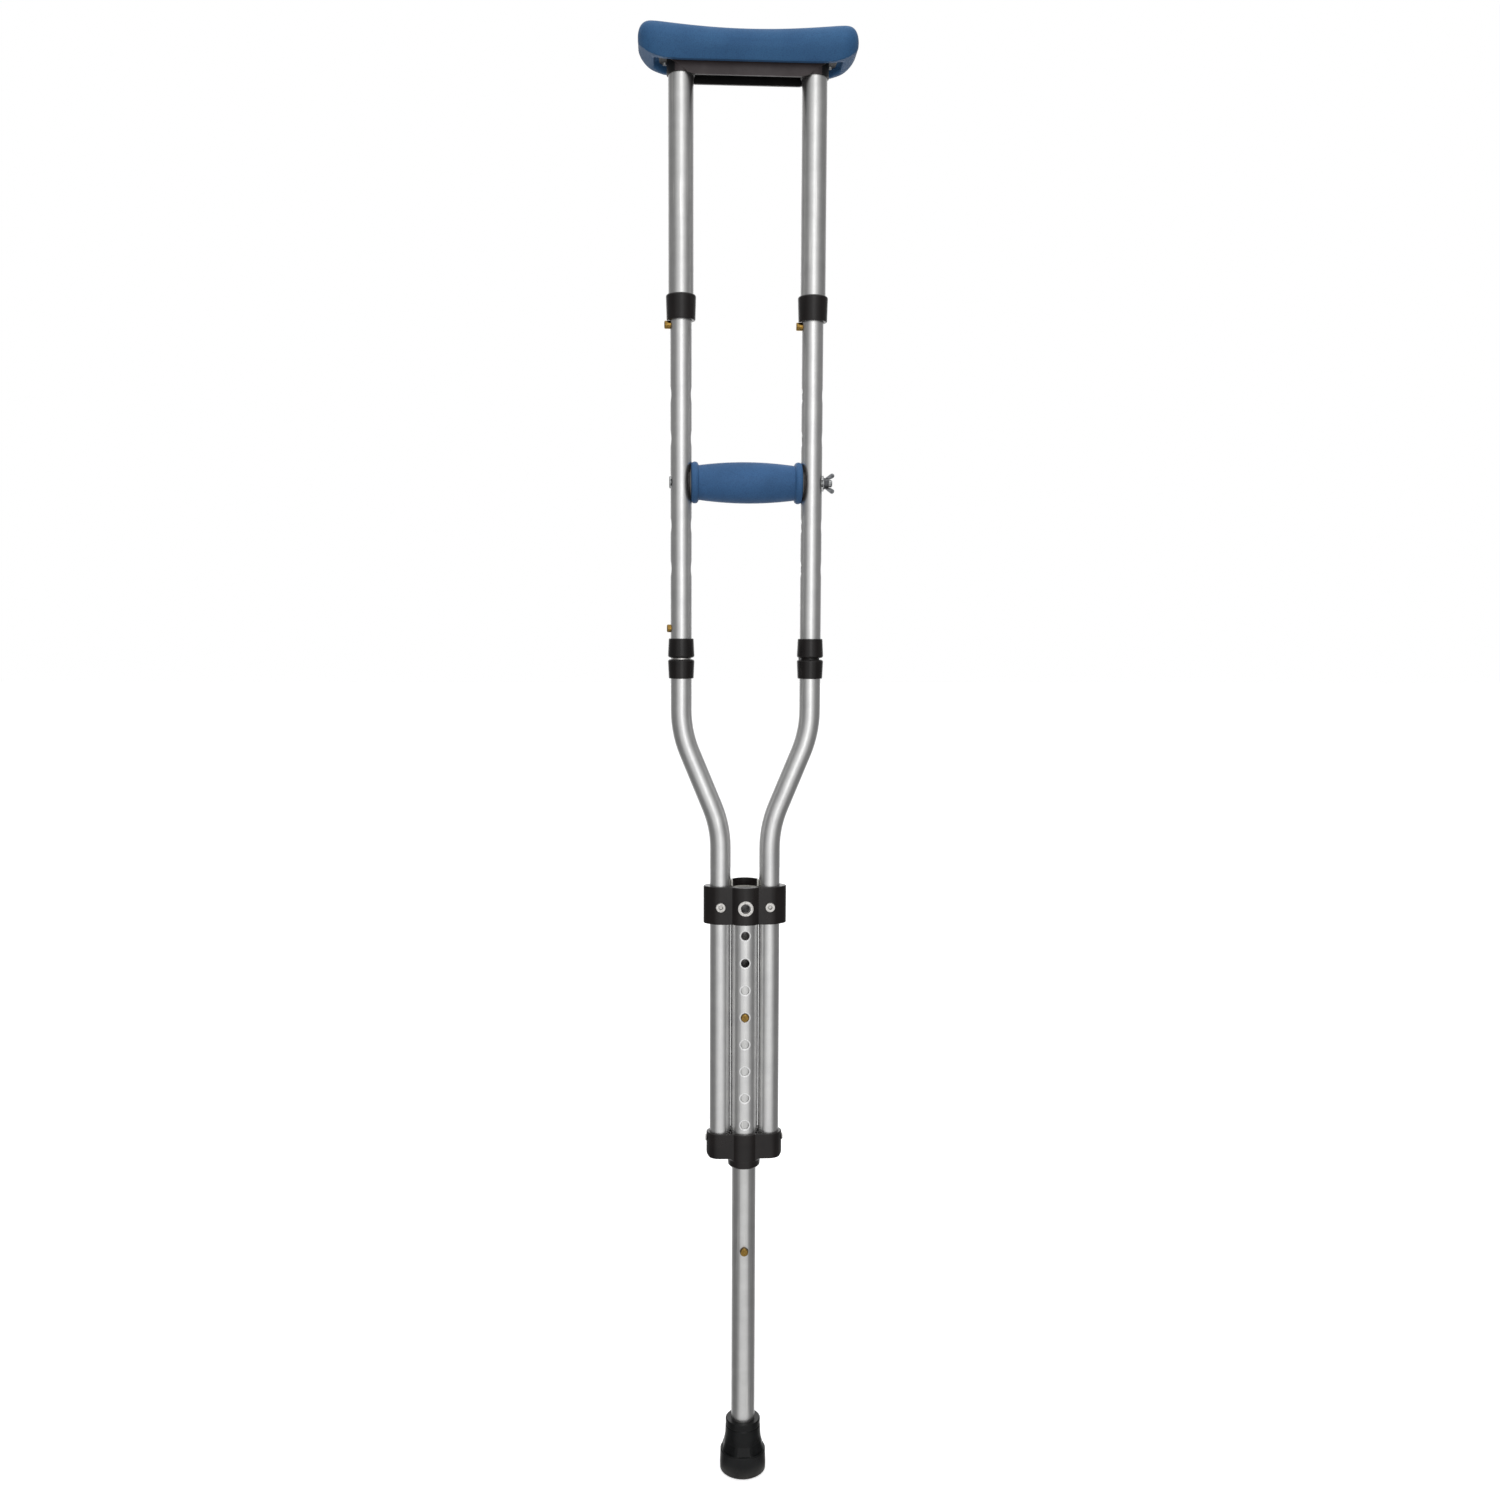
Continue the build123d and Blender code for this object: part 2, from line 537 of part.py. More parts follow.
for side, sign in SIDES.items():
    tube_x = sign * FRAME_X

    with BuildPart() as fold_collar_lower:
        add(fold_collar(tube_x, -1))
        add(hinge_lobe(tube_x - KNUCKLE_HALF, tube_x + KNUCKLE_HALF, -1, tube_x))
        with BuildSketch(facing_side(tube_x - KNUCKLE_HALF, FOLD_Z, 1)):
            with Locations((HINGE_Y, 0)):
                Circle(PIN_R)
        extrude(amount=2 * KNUCKLE_HALF, mode=Mode.SUBTRACT)
    fold_collar_lower.part.label = "fold_collar_lower_" + side
    export_step(fold_collar_lower.part, "parts/fold_collar_lower_" + side + ".step")

    with BuildPart() as fold_collar_upper:
        add(fold_collar(tube_x, 1))
        for ear in (-1, 1):
            near = tube_x + ear * (KNUCKLE_HALF + EAR_GAP)
            far = tube_x + ear * EAR_OUTER
            add(hinge_lobe(min(near, far), max(near, far), 1, tube_x))
        with BuildSketch(facing_side(tube_x - EAR_OUTER, FOLD_Z, 1)):
            with Locations((HINGE_Y, 0)):
                Circle(PIN_R + 0.05)
        extrude(amount=2 * EAR_OUTER, mode=Mode.SUBTRACT)
    fold_collar_upper.part.label = "fold_collar_upper_" + side
    export_step(fold_collar_upper.part, "parts/fold_collar_upper_" + side + ".step")

    with BuildPart() as hinge_pin:
        with BuildSketch(facing_side(tube_x - EAR_OUTER - EAR_GAP, FOLD_Z, 1)):
            with Locations((HINGE_Y, 0)):
                Circle(PIN_R)
        extrude(amount=2 * (EAR_OUTER + EAR_GAP))
        for end in (-1, 1):
            with BuildSketch(facing_side(tube_x + end * (EAR_OUTER + EAR_GAP), FOLD_Z, end)):
                with Locations((HINGE_Y, 0)):
                    Circle(PIN_HEAD_R)
            extrude(amount=PIN_HEAD_THICK, taper=20)
    hinge_pin.part.label = "hinge_pin_" + side
    export_step(hinge_pin.part, "parts/hinge_pin_" + side + ".step")

    with BuildPart() as fold_plug:
        with BuildSketch(at(tube_x, BOW_TOP - PLUG_LENGTH)):
            Circle(FRAME_ID / 2)
        extrude(amount=PLUG_LENGTH)
        with BuildSketch(at(tube_x, BOW_TOP)):
            Circle(PLUG_DISC_R)
        extrude(amount=PLUG_DISC_THICK)
        with BuildSketch(at(tube_x, BOW_TOP + PLUG_DISC_THICK)):
            Circle(PLUG_NOSE_R)
        with BuildSketch(at(tube_x, BOW_TOP + PLUG_NOSE)):
            Circle(PLUG_TIP_R)
        loft()
        if side == "left":
            with BuildSketch(at(tube_x, LATCH_Z - 0.9)):
                Circle(PLUG_DISC_R)
                Circle(PLUG_TIP_R - 0.4, mode=Mode.SUBTRACT)
            extrude(amount=LATCH_GROOVE, mode=Mode.SUBTRACT)
        with BuildSketch(at(tube_x, BOW_TOP - PLUG_LENGTH)):
            Circle(PLUG_BORE_R)
        extrude(amount=2 * PLUG_LENGTH, mode=Mode.SUBTRACT)
    fold_plug.part.label = "fold_plug_" + side
    export_step(fold_plug.part, "parts/fold_plug_" + side + ".step")

# ---------------------------------------------------------------- middle tubes, dimpled at the grip heights
MIDDLE_BOTTOM = FOLD_Z + COLLAR_FACE
FOLD_BUTTON_Z = 798.0
BOLT_R = 1 / 8 * INCH
GRIP_HEIGHTS = [GRIP_Z + step * GRIP_PITCH for step in (-2, -1, 0, 1, 2)]
DIMPLE_DEPTH = 1.3
DIMPLE_LENGTH = 15.0
DIMPLE_R = ((DIMPLE_LENGTH / 2) ** 2 + DIMPLE_DEPTH**2) / (2 * DIMPLE_DEPTH)
DIMPLE_X = FRAME_OD / 2 - DIMPLE_DEPTH + DIMPLE_R
GUIDE_BUSH_PLUG = 12.0
GUIDE_BUSH_HEAD = 4.0
TOP_BUTTON_PROUD = 5.2
FOLD_BUTTON_PROUD = 3.3

for side, sign in SIDES.items():
    tube_x = sign * FRAME_X
    dimples = [(tube_x + end * DIMPLE_X, 0, z) for end in (-1, 1) for z in GRIP_HEIGHTS]

    with BuildPart() as bump_limit:
        with BuildSketch(at(tube_x, MIDDLE_BOTTOM)):
            Circle(FRAME_ID / 2 + 0.1)
        extrude(amount=MIDDLE_TOP - MIDDLE_BOTTOM)
    with BuildPart() as bumps:
        with Locations(dimples):
            Sphere(DIMPLE_R + WALL)
        add(bump_limit.part, mode=Mode.INTERSECT)

    with BuildPart() as middle_tube:
        add(ring(at(tube_x, MIDDLE_BOTTOM), FRAME_OD / 2, FRAME_ID / 2))
        extrude(amount=MIDDLE_TOP - MIDDLE_BOTTOM)
        add(bumps.part)
        with Locations(dimples):
            Sphere(DIMPLE_R, mode=Mode.SUBTRACT)
        for z in GRIP_HEIGHTS:
            with BuildSketch(facing_side(tube_x, z, 1)):
                Circle(BOLT_R + 0.15)
            extrude(amount=FRAME_OD, both=True, mode=Mode.SUBTRACT)
        with BuildSketch(facing_side(tube_x, TOP_BUTTON_Z, -1)):
            Circle(SNAP_HOLE_R)
        extrude(amount=FRAME_OD, mode=Mode.SUBTRACT)
        if side == "left":
            with BuildSketch(facing_side(tube_x, FOLD_BUTTON_Z, -1)):
                Circle(SNAP_HOLE_R)
            extrude(amount=FRAME_OD, mode=Mode.SUBTRACT)
    middle_tube.part.label = "middle_tube_" + side
    export_step(middle_tube.part, "parts/middle_tube_" + side + ".step")

    with BuildPart() as guide_bush:
        with BuildSketch(at(tube_x, MIDDLE_TOP - GUIDE_BUSH_PLUG)):
            Circle(FRAME_ID / 2)
        extrude(amount=GUIDE_BUSH_PLUG)
        with BuildSketch(at(tube_x, MIDDLE_TOP)):
            Circle(UPPER_OD / 2 - WALL - 0.1)
        extrude(amount=GUIDE_BUSH_HEAD)
        chamfer(guide_bush.edges().group_by(Axis.Z)[-1], length=0.8)
        with BuildSketch(at(tube_x, MIDDLE_TOP - GUIDE_BUSH_PLUG)):
            Circle(FRAME_ID / 2 - BUSH_WALL)
        extrude(amount=2 * GUIDE_BUSH_PLUG, mode=Mode.SUBTRACT)
    guide_bush.part.label = "guide_bush_" + side
    export_step(guide_bush.part, "parts/guide_bush_" + side + ".step")

    top_base = FRAME_SPRING_REACH + SPRING_THICK
    with BuildPart() as top_button:
        with BuildSketch(facing_side(tube_x, TOP_BUTTON_Z, -1).offset(top_base)):
            Circle(SNAP_BUTTON_R)
        extrude(amount=FRAME_OD / 2 + TOP_BUTTON_PROUD - top_base)
        fillet(top_button.edges().group_by(Axis.X)[0], radius=BUTTON_DOME)
    top_button.part.label = "top_button_" + side
    export_step(top_button.part, "parts/top_button_" + side + ".step")

    spring_plane = Plane(origin=(tube_x, 0, TOP_BUTTON_Z), x_dir=(-1, 0, 0), z_dir=(0, -1, 0))
    spring_part = hairpin_spring(
        spring_plane, FRAME_SPRING_REACH, FRAME_SPRING_WIDTH, FRAME_SPRING_UP, FRAME_SPRING_DOWN
    )
    spring_part.label = "top_button_spring_" + side
    export_step(spring_part, "parts/top_button_spring_" + side + ".step")

# ---------------------------------------------------------------- fold button and its latch
FOLD_BUTTON_BASE = FRAME_SPRING_REACH + SPRING_THICK
LATCH_ARM = 9.0  # from the button down to where the arms turn inward
LATCH_BEND = 24.0
LATCH_WIDTH = 5.0

with BuildPart() as fold_button:
    with BuildSketch(facing_side(-FRAME_X, FOLD_BUTTON_Z, -1).offset(FOLD_BUTTON_BASE)):
        Circle(SNAP_BUTTON_R)
    extrude(amount=FRAME_OD / 2 + FOLD_BUTTON_PROUD - FOLD_BUTTON_BASE)
    fillet(fold_button.edges().group_by(Axis.X)[0], radius=BUTTON_DOME)
fold_button.part.label = "fold_button"
export_step(fold_button.part, "parts/fold_button.step")

with BuildPart() as fold_latch:
    with BuildSketch(Plane(origin=(-FRAME_X, 0, 0), x_dir=(-1, 0, 0), z_dir=(0, -1, 0))):
        with BuildLine():
            Polyline(
                (-FRAME_SPRING_REACH, -FOLD_BUTTON_Z - LATCH_ARM),
                (0, -FOLD_BUTTON_Z - LATCH_BEND),
                (FRAME_SPRING_REACH, -FOLD_BUTTON_Z - LATCH_ARM),
                (FRAME_SPRING_REACH, -LATCH_Z),
                (PLUG_TIP_R + 0.1, -LATCH_Z),
            )
        trace(line_width=SPRING_THICK)
    extrude(amount=LATCH_WIDTH / 2, both=True)
fold_latch.part.label = "fold_latch"
export_step(fold_latch.part, "parts/fold_latch.step")

# ---------------------------------------------------------------- hand grip, its bolt and wing nut
GRIP_FACE_X = 49.5  # outer faces of the grip's flanges
FLANGE_R = 18.6
FLANGE_THICK = 6.8
BARREL_MID_R = 18.2
CORE_R = 11.0
CORE_FLANGE_R = 17.0
CORE_END_X = 52.2
SADDLE_CLEAR = 0.35
GRIP_AXIS = Axis((0, 0, GRIP_Z), (1, 0, 0))

with BuildPart() as grip_sleeve:
    with BuildSketch(facing_front(0, GRIP_Z)):
        with BuildLine():
            barrel_x = GRIP_FACE_X - FLANGE_THICK
            rounding = FLANGE_THICK / 2
            rim_x = GRIP_FACE_X - rounding
            Line((-GRIP_FACE_X, CORE_R), (-GRIP_FACE_X, FLANGE_R - rounding))
            ThreePointArc(
                (-GRIP_FACE_X, FLANGE_R - rounding),
                (-rim_x, FLANGE_R),
                (-barrel_x, FLANGE_R - rounding),
            )
            ThreePointArc(
                (-barrel_x, FLANGE_R - rounding),
                (0, BARREL_MID_R),
                (barrel_x, FLANGE_R - rounding),
            )
            ThreePointArc(
                (barrel_x, FLANGE_R - rounding),
                (rim_x, FLANGE_R),
                (GRIP_FACE_X, FLANGE_R - rounding),
            )
            Line((GRIP_FACE_X, FLANGE_R - rounding), (GRIP_FACE_X, CORE_R))
            Line((GRIP_FACE_X, CORE_R), (-GRIP_FACE_X, CORE_R))
        make_face()
    revolve(axis=GRIP_AXIS)
    for sign in SIDES.values():
        with BuildSketch(at(sign * FRAME_X, GRIP_Z - FLANGE_R)):
            Circle(FRAME_OD / 2 + SADDLE_CLEAR)
        extrude(amount=2 * FLANGE_R, mode=Mode.SUBTRACT)
grip_sleeve.part.label = "grip_sleeve"
export_step(grip_sleeve.part, "parts/grip_sleeve.step")

with BuildPart() as grip_core:
    with BuildSketch(facing_side(-CORE_END_X, GRIP_Z, 1)):
        Circle(CORE_R)
    extrude(amount=2 * CORE_END_X)
    for sign in SIDES.values():
        with BuildSketch(facing_front(0, GRIP_Z)):
            with BuildLine():
                Line((sign * GRIP_FACE_X, 0), (sign * GRIP_FACE_X, CORE_FLANGE_R))
                ThreePointArc(
                    (sign * GRIP_FACE_X, CORE_FLANGE_R),
                    (sign * (CORE_END_X - 0.6), CORE_FLANGE_R / 2),
                    (sign * CORE_END_X, 0),
                )
                Line((sign * CORE_END_X, 0), (sign * GRIP_FACE_X, 0))
            make_face()
        revolve(axis=GRIP_AXIS)
        with BuildSketch(at(sign * FRAME_X, GRIP_Z - FLANGE_R)):
            Circle(FRAME_OD / 2 + SADDLE_CLEAR)
        extrude(amount=2 * FLANGE_R, mode=Mode.SUBTRACT)
    with BuildSketch(facing_side(-CORE_END_X, GRIP_Z, 1)):
        Circle(BOLT_R + 0.2)
    extrude(amount=2 * CORE_END_X, mode=Mode.SUBTRACT)
grip_core.part.label = "grip_core"
export_step(grip_core.part, "parts/grip_core.step")

TUBE_OUTER_X = FRAME_X + FRAME_OD / 2
BOLT_HEAD_R = 5.5
BOLT_HEAD_THICK = 1.3
BOLT_HEAD_EDGE_R = 0.9
BOLT_END_X = 76.6
WASHER_R = 7.0
GRIP_WASHER_THICK = 0.8
WASHER_X = TUBE_OUTER_X + 0.3
NUT_X = WASHER_X + GRIP_WASHER_THICK + 0.3
NUT_HUB_LENGTH = 4.4
NUT_HUB_R = 5.2
WING_SPAN = 8.9
WING_REACH = 78.6
WING_THICK = 2.4
WING_LOBE_R = 2.1
WING_ROOT_R = 1.5
WING_ROOT_X = NUT_X + 1.9
WING_ROOT_Z = 3.4  # from the nut's axis
NUT_CLEAR = 0.6  # the thread's depth, so that the nut turns freely on the bolt

with BuildPart() as grip_bolt:
    with BuildSketch(facing_side(-TUBE_OUTER_X, GRIP_Z, 1)):
        Circle(BOLT_R)
    extrude(amount=TUBE_OUTER_X + BOLT_END_X)
    chamfer(grip_bolt.edges().group_by(Axis.X)[-1], length=0.6)
    with BuildSketch(facing_side(-TUBE_OUTER_X + 0.3, GRIP_Z, -1)):
        Circle(BOLT_HEAD_R)
    extrude(amount=BOLT_HEAD_THICK)
    fillet(grip_bolt.edges().group_by(Axis.X)[0], radius=BOLT_HEAD_EDGE_R)
grip_bolt.part.label = "grip_bolt"
export_step(grip_bolt.part, "parts/grip_bolt.step")

with BuildPart() as grip_washer:
    with BuildSketch(facing_side(WASHER_X, GRIP_Z, 1)):
        Circle(WASHER_R)
        Circle(BOLT_R + 0.1, mode=Mode.SUBTRACT)
    extrude(amount=GRIP_WASHER_THICK)
grip_washer.part.label = "grip_washer"
export_step(grip_washer.part, "parts/grip_washer.step")

with BuildPart() as wing_nut:
    with BuildSketch(facing_side(NUT_X, GRIP_Z, 1)):
        Circle(NUT_HUB_R)
    extrude(amount=NUT_HUB_LENGTH, taper=8)
    for wing in (-1, 1):
        with BuildSketch(facing_front(0, GRIP_Z)):
            with Locations((WING_ROOT_X, wing * WING_ROOT_Z)):
                Circle(WING_ROOT_R)
            with Locations((WING_REACH - WING_LOBE_R, wing * (WING_SPAN - WING_LOBE_R))):
                Circle(WING_LOBE_R)
            make_hull()
        extrude(amount=WING_THICK / 2, both=True)
    with BuildSketch(facing_side(NUT_X - 1.0, GRIP_Z, 1)):
        Circle(BOLT_R + NUT_CLEAR)
    extrude(amount=2 * NUT_HUB_LENGTH, mode=Mode.SUBTRACT)
wing_nut.part.label = "wing_nut"
export_step(wing_nut.part, "parts/wing_nut.step")

# ---------------------------------------------------------------- upper tubes and their collars
SOCKET_BOTTOM = 1274.6
UPPER_TUBE_TOP = SADDLE_TOP - 3.5
UPPER_ID = UPPER_OD - 2 * WALL
UPPER_COLLAR_BOTTOM = 1067.8
UPPER_COLLAR_TOP = 1089.8
UPPER_COLLAR_TOP_R = 13.3
UPPER_COLLAR_BOTTOM_R = 12.7
COLLAR_SHOULDER_R = 1.9
STOP_MARK_Z = 1104.8
STOP_MARK_R = 1.8
STOP_MARK_DEPTH = 0.7

for side, sign in SIDES.items():
    tube_x = sign * FRAME_X
    with BuildPart() as upper_tube:
        add(ring(at(tube_x, UPPER_TUBE_BOTTOM), UPPER_OD / 2, UPPER_ID / 2))
        extrude(amount=UPPER_TUBE_TOP - UPPER_TUBE_BOTTOM)
        # a shallow punch mark on the outer side
        with Locations((tube_x + sign * (UPPER_OD / 2 + STOP_MARK_R - STOP_MARK_DEPTH), 0, STOP_MARK_Z)):
            Sphere(STOP_MARK_R, mode=Mode.SUBTRACT)
    upper_tube.part.label = "upper_tube_" + side
    export_step(upper_tube.part, "parts/upper_tube_" + side + ".step")

    with BuildPart() as upper_collar:
        with BuildSketch(at(tube_x, UPPER_COLLAR_BOTTOM)):
            Circle(UPPER_COLLAR_BOTTOM_R)
        with BuildSketch(at(tube_x, UPPER_COLLAR_TOP)):
            Circle(UPPER_COLLAR_TOP_R)
        loft()
        fillet(upper_collar.edges().group_by(Axis.Z)[-1], radius=COLLAR_SHOULDER_R)
        fillet(upper_collar.edges().group_by(Axis.Z)[0], radius=FAR_EDGE_R)
        with BuildSketch(at(tube_x, UPPER_TUBE_BOTTOM)):
            Circle(UPPER_OD / 2)
        extrude(amount=UPPER_COLLAR_TOP - UPPER_TUBE_BOTTOM, mode=Mode.SUBTRACT)
        with BuildSketch(at(tube_x, UPPER_COLLAR_BOTTOM)):
            Circle(FRAME_OD / 2 + 0.3)
        extrude(amount=UPPER_TUBE_BOTTOM - UPPER_COLLAR_BOTTOM, mode=Mode.SUBTRACT)
    upper_collar.part.label = "upper_collar_" + side
    export_step(upper_collar.part, "parts/upper_collar_" + side + ".step")

# ---------------------------------------------------------------- saddle under the pad
PLATE_HALF_X = 77.0
PLATE_HALF_Y = 15.9
PLATE_THICK = 2.4
SADDLE_WALL_Y = 12.6
SADDLE_WALL = 2.2
SOCKET_R = 12.3
WALL_FOOT_X = 46.0  # half the length of each side wall along its lower edge
WALL_KNEE_X = 52.0
WALL_KNEE_Z = 1273.7
WALL_TOP_X = 69.5
WALL_TOP_Z = 1285.7
SCREW_X = 72.0
SCREW_Y = 8.5
SCREW_R = 1.3
SCREW_HEAD_THICK = 1.4
SCREW_HEAD_R = 1.8  # where the head starts to widen
SCREW_LENGTH = 9.0
PLATE_CORNER_R = 12.0
RIB_X = (-30.0, 0.0, 30.0)
RIB_THICK = 2.0
RIB_DEPTH = 8.0
WALL_ROOT = SADDLE_TOP - 1.0  # the walls, ribs and sockets run up into the plate

with BuildPart() as saddle_trough:
    with BuildSketch(Plane.XY.offset(SADDLE_TOP - PLATE_THICK)):
        RectangleRounded(2 * PLATE_HALF_X, 2 * PLATE_HALF_Y, PLATE_CORNER_R)
    extrude(amount=PLATE_THICK)
    for y_sign in (-1, 1):
        with BuildSketch(facing_front(0, 0, y_sign * SADDLE_WALL_Y)):
            with BuildLine():
                Polyline(
                    (-WALL_TOP_X, WALL_ROOT),
                    (-WALL_TOP_X, WALL_TOP_Z),
                    (-WALL_KNEE_X, WALL_KNEE_Z),
                    (-WALL_FOOT_X, SADDLE_BOTTOM),
                    (WALL_FOOT_X, SADDLE_BOTTOM),
                    (WALL_KNEE_X, WALL_KNEE_Z),
                    (WALL_TOP_X, WALL_TOP_Z),
                    (WALL_TOP_X, WALL_ROOT),
                    close=True,
                )
            make_face()
        extrude(amount=y_sign * SADDLE_WALL)
    for sign in SIDES.values():
        with BuildSketch(at(sign * FRAME_X, SOCKET_BOTTOM)):
            Circle(SOCKET_R)
        extrude(amount=WALL_ROOT - SOCKET_BOTTOM)
    for rib_x in RIB_X:
        with BuildSketch(at(rib_x, WALL_ROOT - RIB_DEPTH)):
            Rectangle(RIB_THICK, 2 * SADDLE_WALL_Y - 1.0)
        extrude(amount=RIB_DEPTH)
    for sign in SIDES.values():
        with BuildSketch(at(sign * FRAME_X, SOCKET_BOTTOM)):
            Circle(UPPER_OD / 2)
        extrude(amount=UPPER_TUBE_TOP - SOCKET_BOTTOM, mode=Mode.SUBTRACT)
        for y_sign in (-1, 1):
            with BuildSketch(at(sign * SCREW_X, SADDLE_BOTTOM, y_sign * SCREW_Y)):
                Circle(SCREW_R + 0.1)
            extrude(amount=SADDLE_TOP, mode=Mode.SUBTRACT)
saddle_trough.part.label = "saddle_trough"
export_step(saddle_trough.part, "parts/saddle_trough.step")

with BuildPart() as saddle_screws:
    for sign in SIDES.values():
        for y_sign in (-1, 1):
            plate_z = SADDLE_TOP - PLATE_THICK
            with BuildSketch(at(sign * SCREW_X, plate_z - SCREW_HEAD_THICK, y_sign * SCREW_Y)):
                Circle(SCREW_HEAD_R)
            extrude(amount=SCREW_HEAD_THICK, taper=-30)
            with BuildSketch(at(sign * SCREW_X, plate_z, y_sign * SCREW_Y)):
                Circle(SCREW_R)
            extrude(amount=SCREW_LENGTH)
saddle_screws.part.label = "saddle_screws"
export_step(saddle_screws.part, "parts/saddle_screws.step")

# ---------------------------------------------------------------- underarm pad
PAD_HALF_X = 95.0
PAD_HALF_Y = 25.0
PAD_END_X = 86.0  # highest points, near the ends
POCKET_HALF_X = 81.0
POCKET_HALF_Y = PLATE_HALF_Y + 0.1
PAD_SIDE_LOW = 1297.0
PAD_SIDE_HIGH = 1305.0
PAD_FOOT_X = 73.0
PAD_EDGE_R = 6.0
POCKET_CORNER_R = 14.0

with BuildPart() as underarm_pad:
    with BuildSketch(facing_front(0, 0, PAD_HALF_Y)):
        with BuildLine():
            ThreePointArc((-PAD_END_X, PAD_END_TOP), (0, PAD_MID_TOP), (PAD_END_X, PAD_END_TOP))
            TangentArc((PAD_END_X, PAD_END_TOP), (PAD_HALF_X, PAD_SIDE_HIGH), tangent=(1, 0.1))
            Line((PAD_HALF_X, PAD_SIDE_HIGH), (PAD_HALF_X, PAD_SIDE_LOW))
            TangentArc((PAD_HALF_X, PAD_SIDE_LOW), (PAD_FOOT_X, PAD_BOTTOM), tangent=(0, -1))
            Line((PAD_FOOT_X, PAD_BOTTOM), (-PAD_FOOT_X, PAD_BOTTOM))
            TangentArc((-PAD_HALF_X, PAD_SIDE_LOW), (-PAD_FOOT_X, PAD_BOTTOM), tangent=(0, -1))
            Line((-PAD_HALF_X, PAD_SIDE_LOW), (-PAD_HALF_X, PAD_SIDE_HIGH))
            TangentArc((-PAD_END_X, PAD_END_TOP), (-PAD_HALF_X, PAD_SIDE_HIGH), tangent=(-1, 0.1))
        make_face()
    extrude(amount=2 * PAD_HALF_Y)
    fillet(underarm_pad.edges().group_by(Axis.Y)[0], radius=PAD_EDGE_R)
    fillet(underarm_pad.edges().group_by(Axis.Y)[-1], radius=PAD_EDGE_R)
    with BuildSketch(Plane.XY.offset(PAD_BOTTOM - 1.0)):
        RectangleRounded(2 * POCKET_HALF_X, 2 * POCKET_HALF_Y, POCKET_CORNER_R)
    extrude(amount=SADDLE_TOP - PAD_BOTTOM + 1.0, mode=Mode.SUBTRACT)
    for sign in SIDES.values():
        for y_sign in (-1, 1):
            with BuildSketch(at(sign * SCREW_X, SADDLE_TOP - 1.0, y_sign * SCREW_Y)):
                Circle(SCREW_R)
            extrude(amount=SCREW_LENGTH, mode=Mode.SUBTRACT)
underarm_pad.part.label = "underarm_pad"
export_step(underarm_pad.part, "parts/underarm_pad.step")
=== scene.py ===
# %% [markdown]
# # An underarm crutch
# The crutch stands upright with its rubber tip on the floor and its padded saddle at the top.
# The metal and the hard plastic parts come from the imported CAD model, already in place.
# This lesson gives each of them a finish worked out from the real material, and models the
# two soft parts, the underarm pad and the hand grip, as a maker would shape them.
# Everything is in metres, with X across the crutch, Y from front to back and Z up.

# %% Load the frame
import math

import bmesh
import bpy
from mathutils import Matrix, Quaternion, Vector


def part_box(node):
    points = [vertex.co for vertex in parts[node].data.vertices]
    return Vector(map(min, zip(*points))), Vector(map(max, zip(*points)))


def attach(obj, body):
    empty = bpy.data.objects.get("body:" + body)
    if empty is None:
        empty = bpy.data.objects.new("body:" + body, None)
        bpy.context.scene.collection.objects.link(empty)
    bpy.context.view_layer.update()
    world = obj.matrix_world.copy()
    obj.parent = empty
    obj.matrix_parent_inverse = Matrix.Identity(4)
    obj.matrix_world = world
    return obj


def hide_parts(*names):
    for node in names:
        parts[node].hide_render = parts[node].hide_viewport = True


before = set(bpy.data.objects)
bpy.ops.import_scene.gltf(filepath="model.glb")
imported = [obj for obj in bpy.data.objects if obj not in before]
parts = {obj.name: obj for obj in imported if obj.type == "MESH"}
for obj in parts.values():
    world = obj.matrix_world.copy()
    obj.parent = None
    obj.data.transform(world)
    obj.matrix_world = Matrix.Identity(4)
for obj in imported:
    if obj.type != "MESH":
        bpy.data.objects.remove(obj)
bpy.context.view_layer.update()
MM = 0.001

# %% [markdown]
# ## Small helpers
# Blender's operators act on what is selected, so each step starts by clearing the selection.
# In edit mode the faces, edges or points are then picked by where they lie. These few
# functions do what a hand does with a mouse: clear, pick, cut, push points, finish a piece.

# %% Selecting and finishing
def clear_selection():
    """Nothing stays selected or in edit mode."""
    if bpy.context.object and bpy.context.object.mode != "OBJECT":
        bpy.ops.object.mode_set(mode="OBJECT")
    bpy.ops.object.select_all(action="DESELECT")


def pick(kind, test):
    """In edit mode, selects the "verts", "edges" or "faces" whose points all pass the test."""
    piece = bpy.context.object
    mode = {"verts": "VERT", "edges": "EDGE", "faces": "FACE"}[kind]
    bpy.ops.mesh.select_mode(type=mode)
    bpy.ops.mesh.select_all(action="DESELECT")
    shape = bmesh.from_edit_mesh(piece.data)
    for item in getattr(shape, kind):
        corners = [item] if kind == "verts" else list(item.verts)
        if all(test(piece.matrix_world @ corner.co) for corner in corners):
            item.select_set(True)
    shape.select_flush_mode()
    bmesh.update_edit_mesh(piece.data)


def cut_all(places, direction):
    """Cuts the whole piece with flat planes at these places along X, Y or Z."""
    normal = {"X": (1, 0, 0), "Y": (0, 1, 0), "Z": (0, 0, 1)}[direction]
    for place in places:
        bpy.ops.mesh.select_all(action="SELECT")
        point = tuple(place * component for component in normal)
        bpy.ops.mesh.bisect(plane_co=point, plane_no=normal)


def move_points(piece, rule):
    """Moves each point of a piece to where the rule says, as a sculpting hand would."""
    for point in piece.data.vertices:
        point.co = rule(point.co)
    piece.data.update()


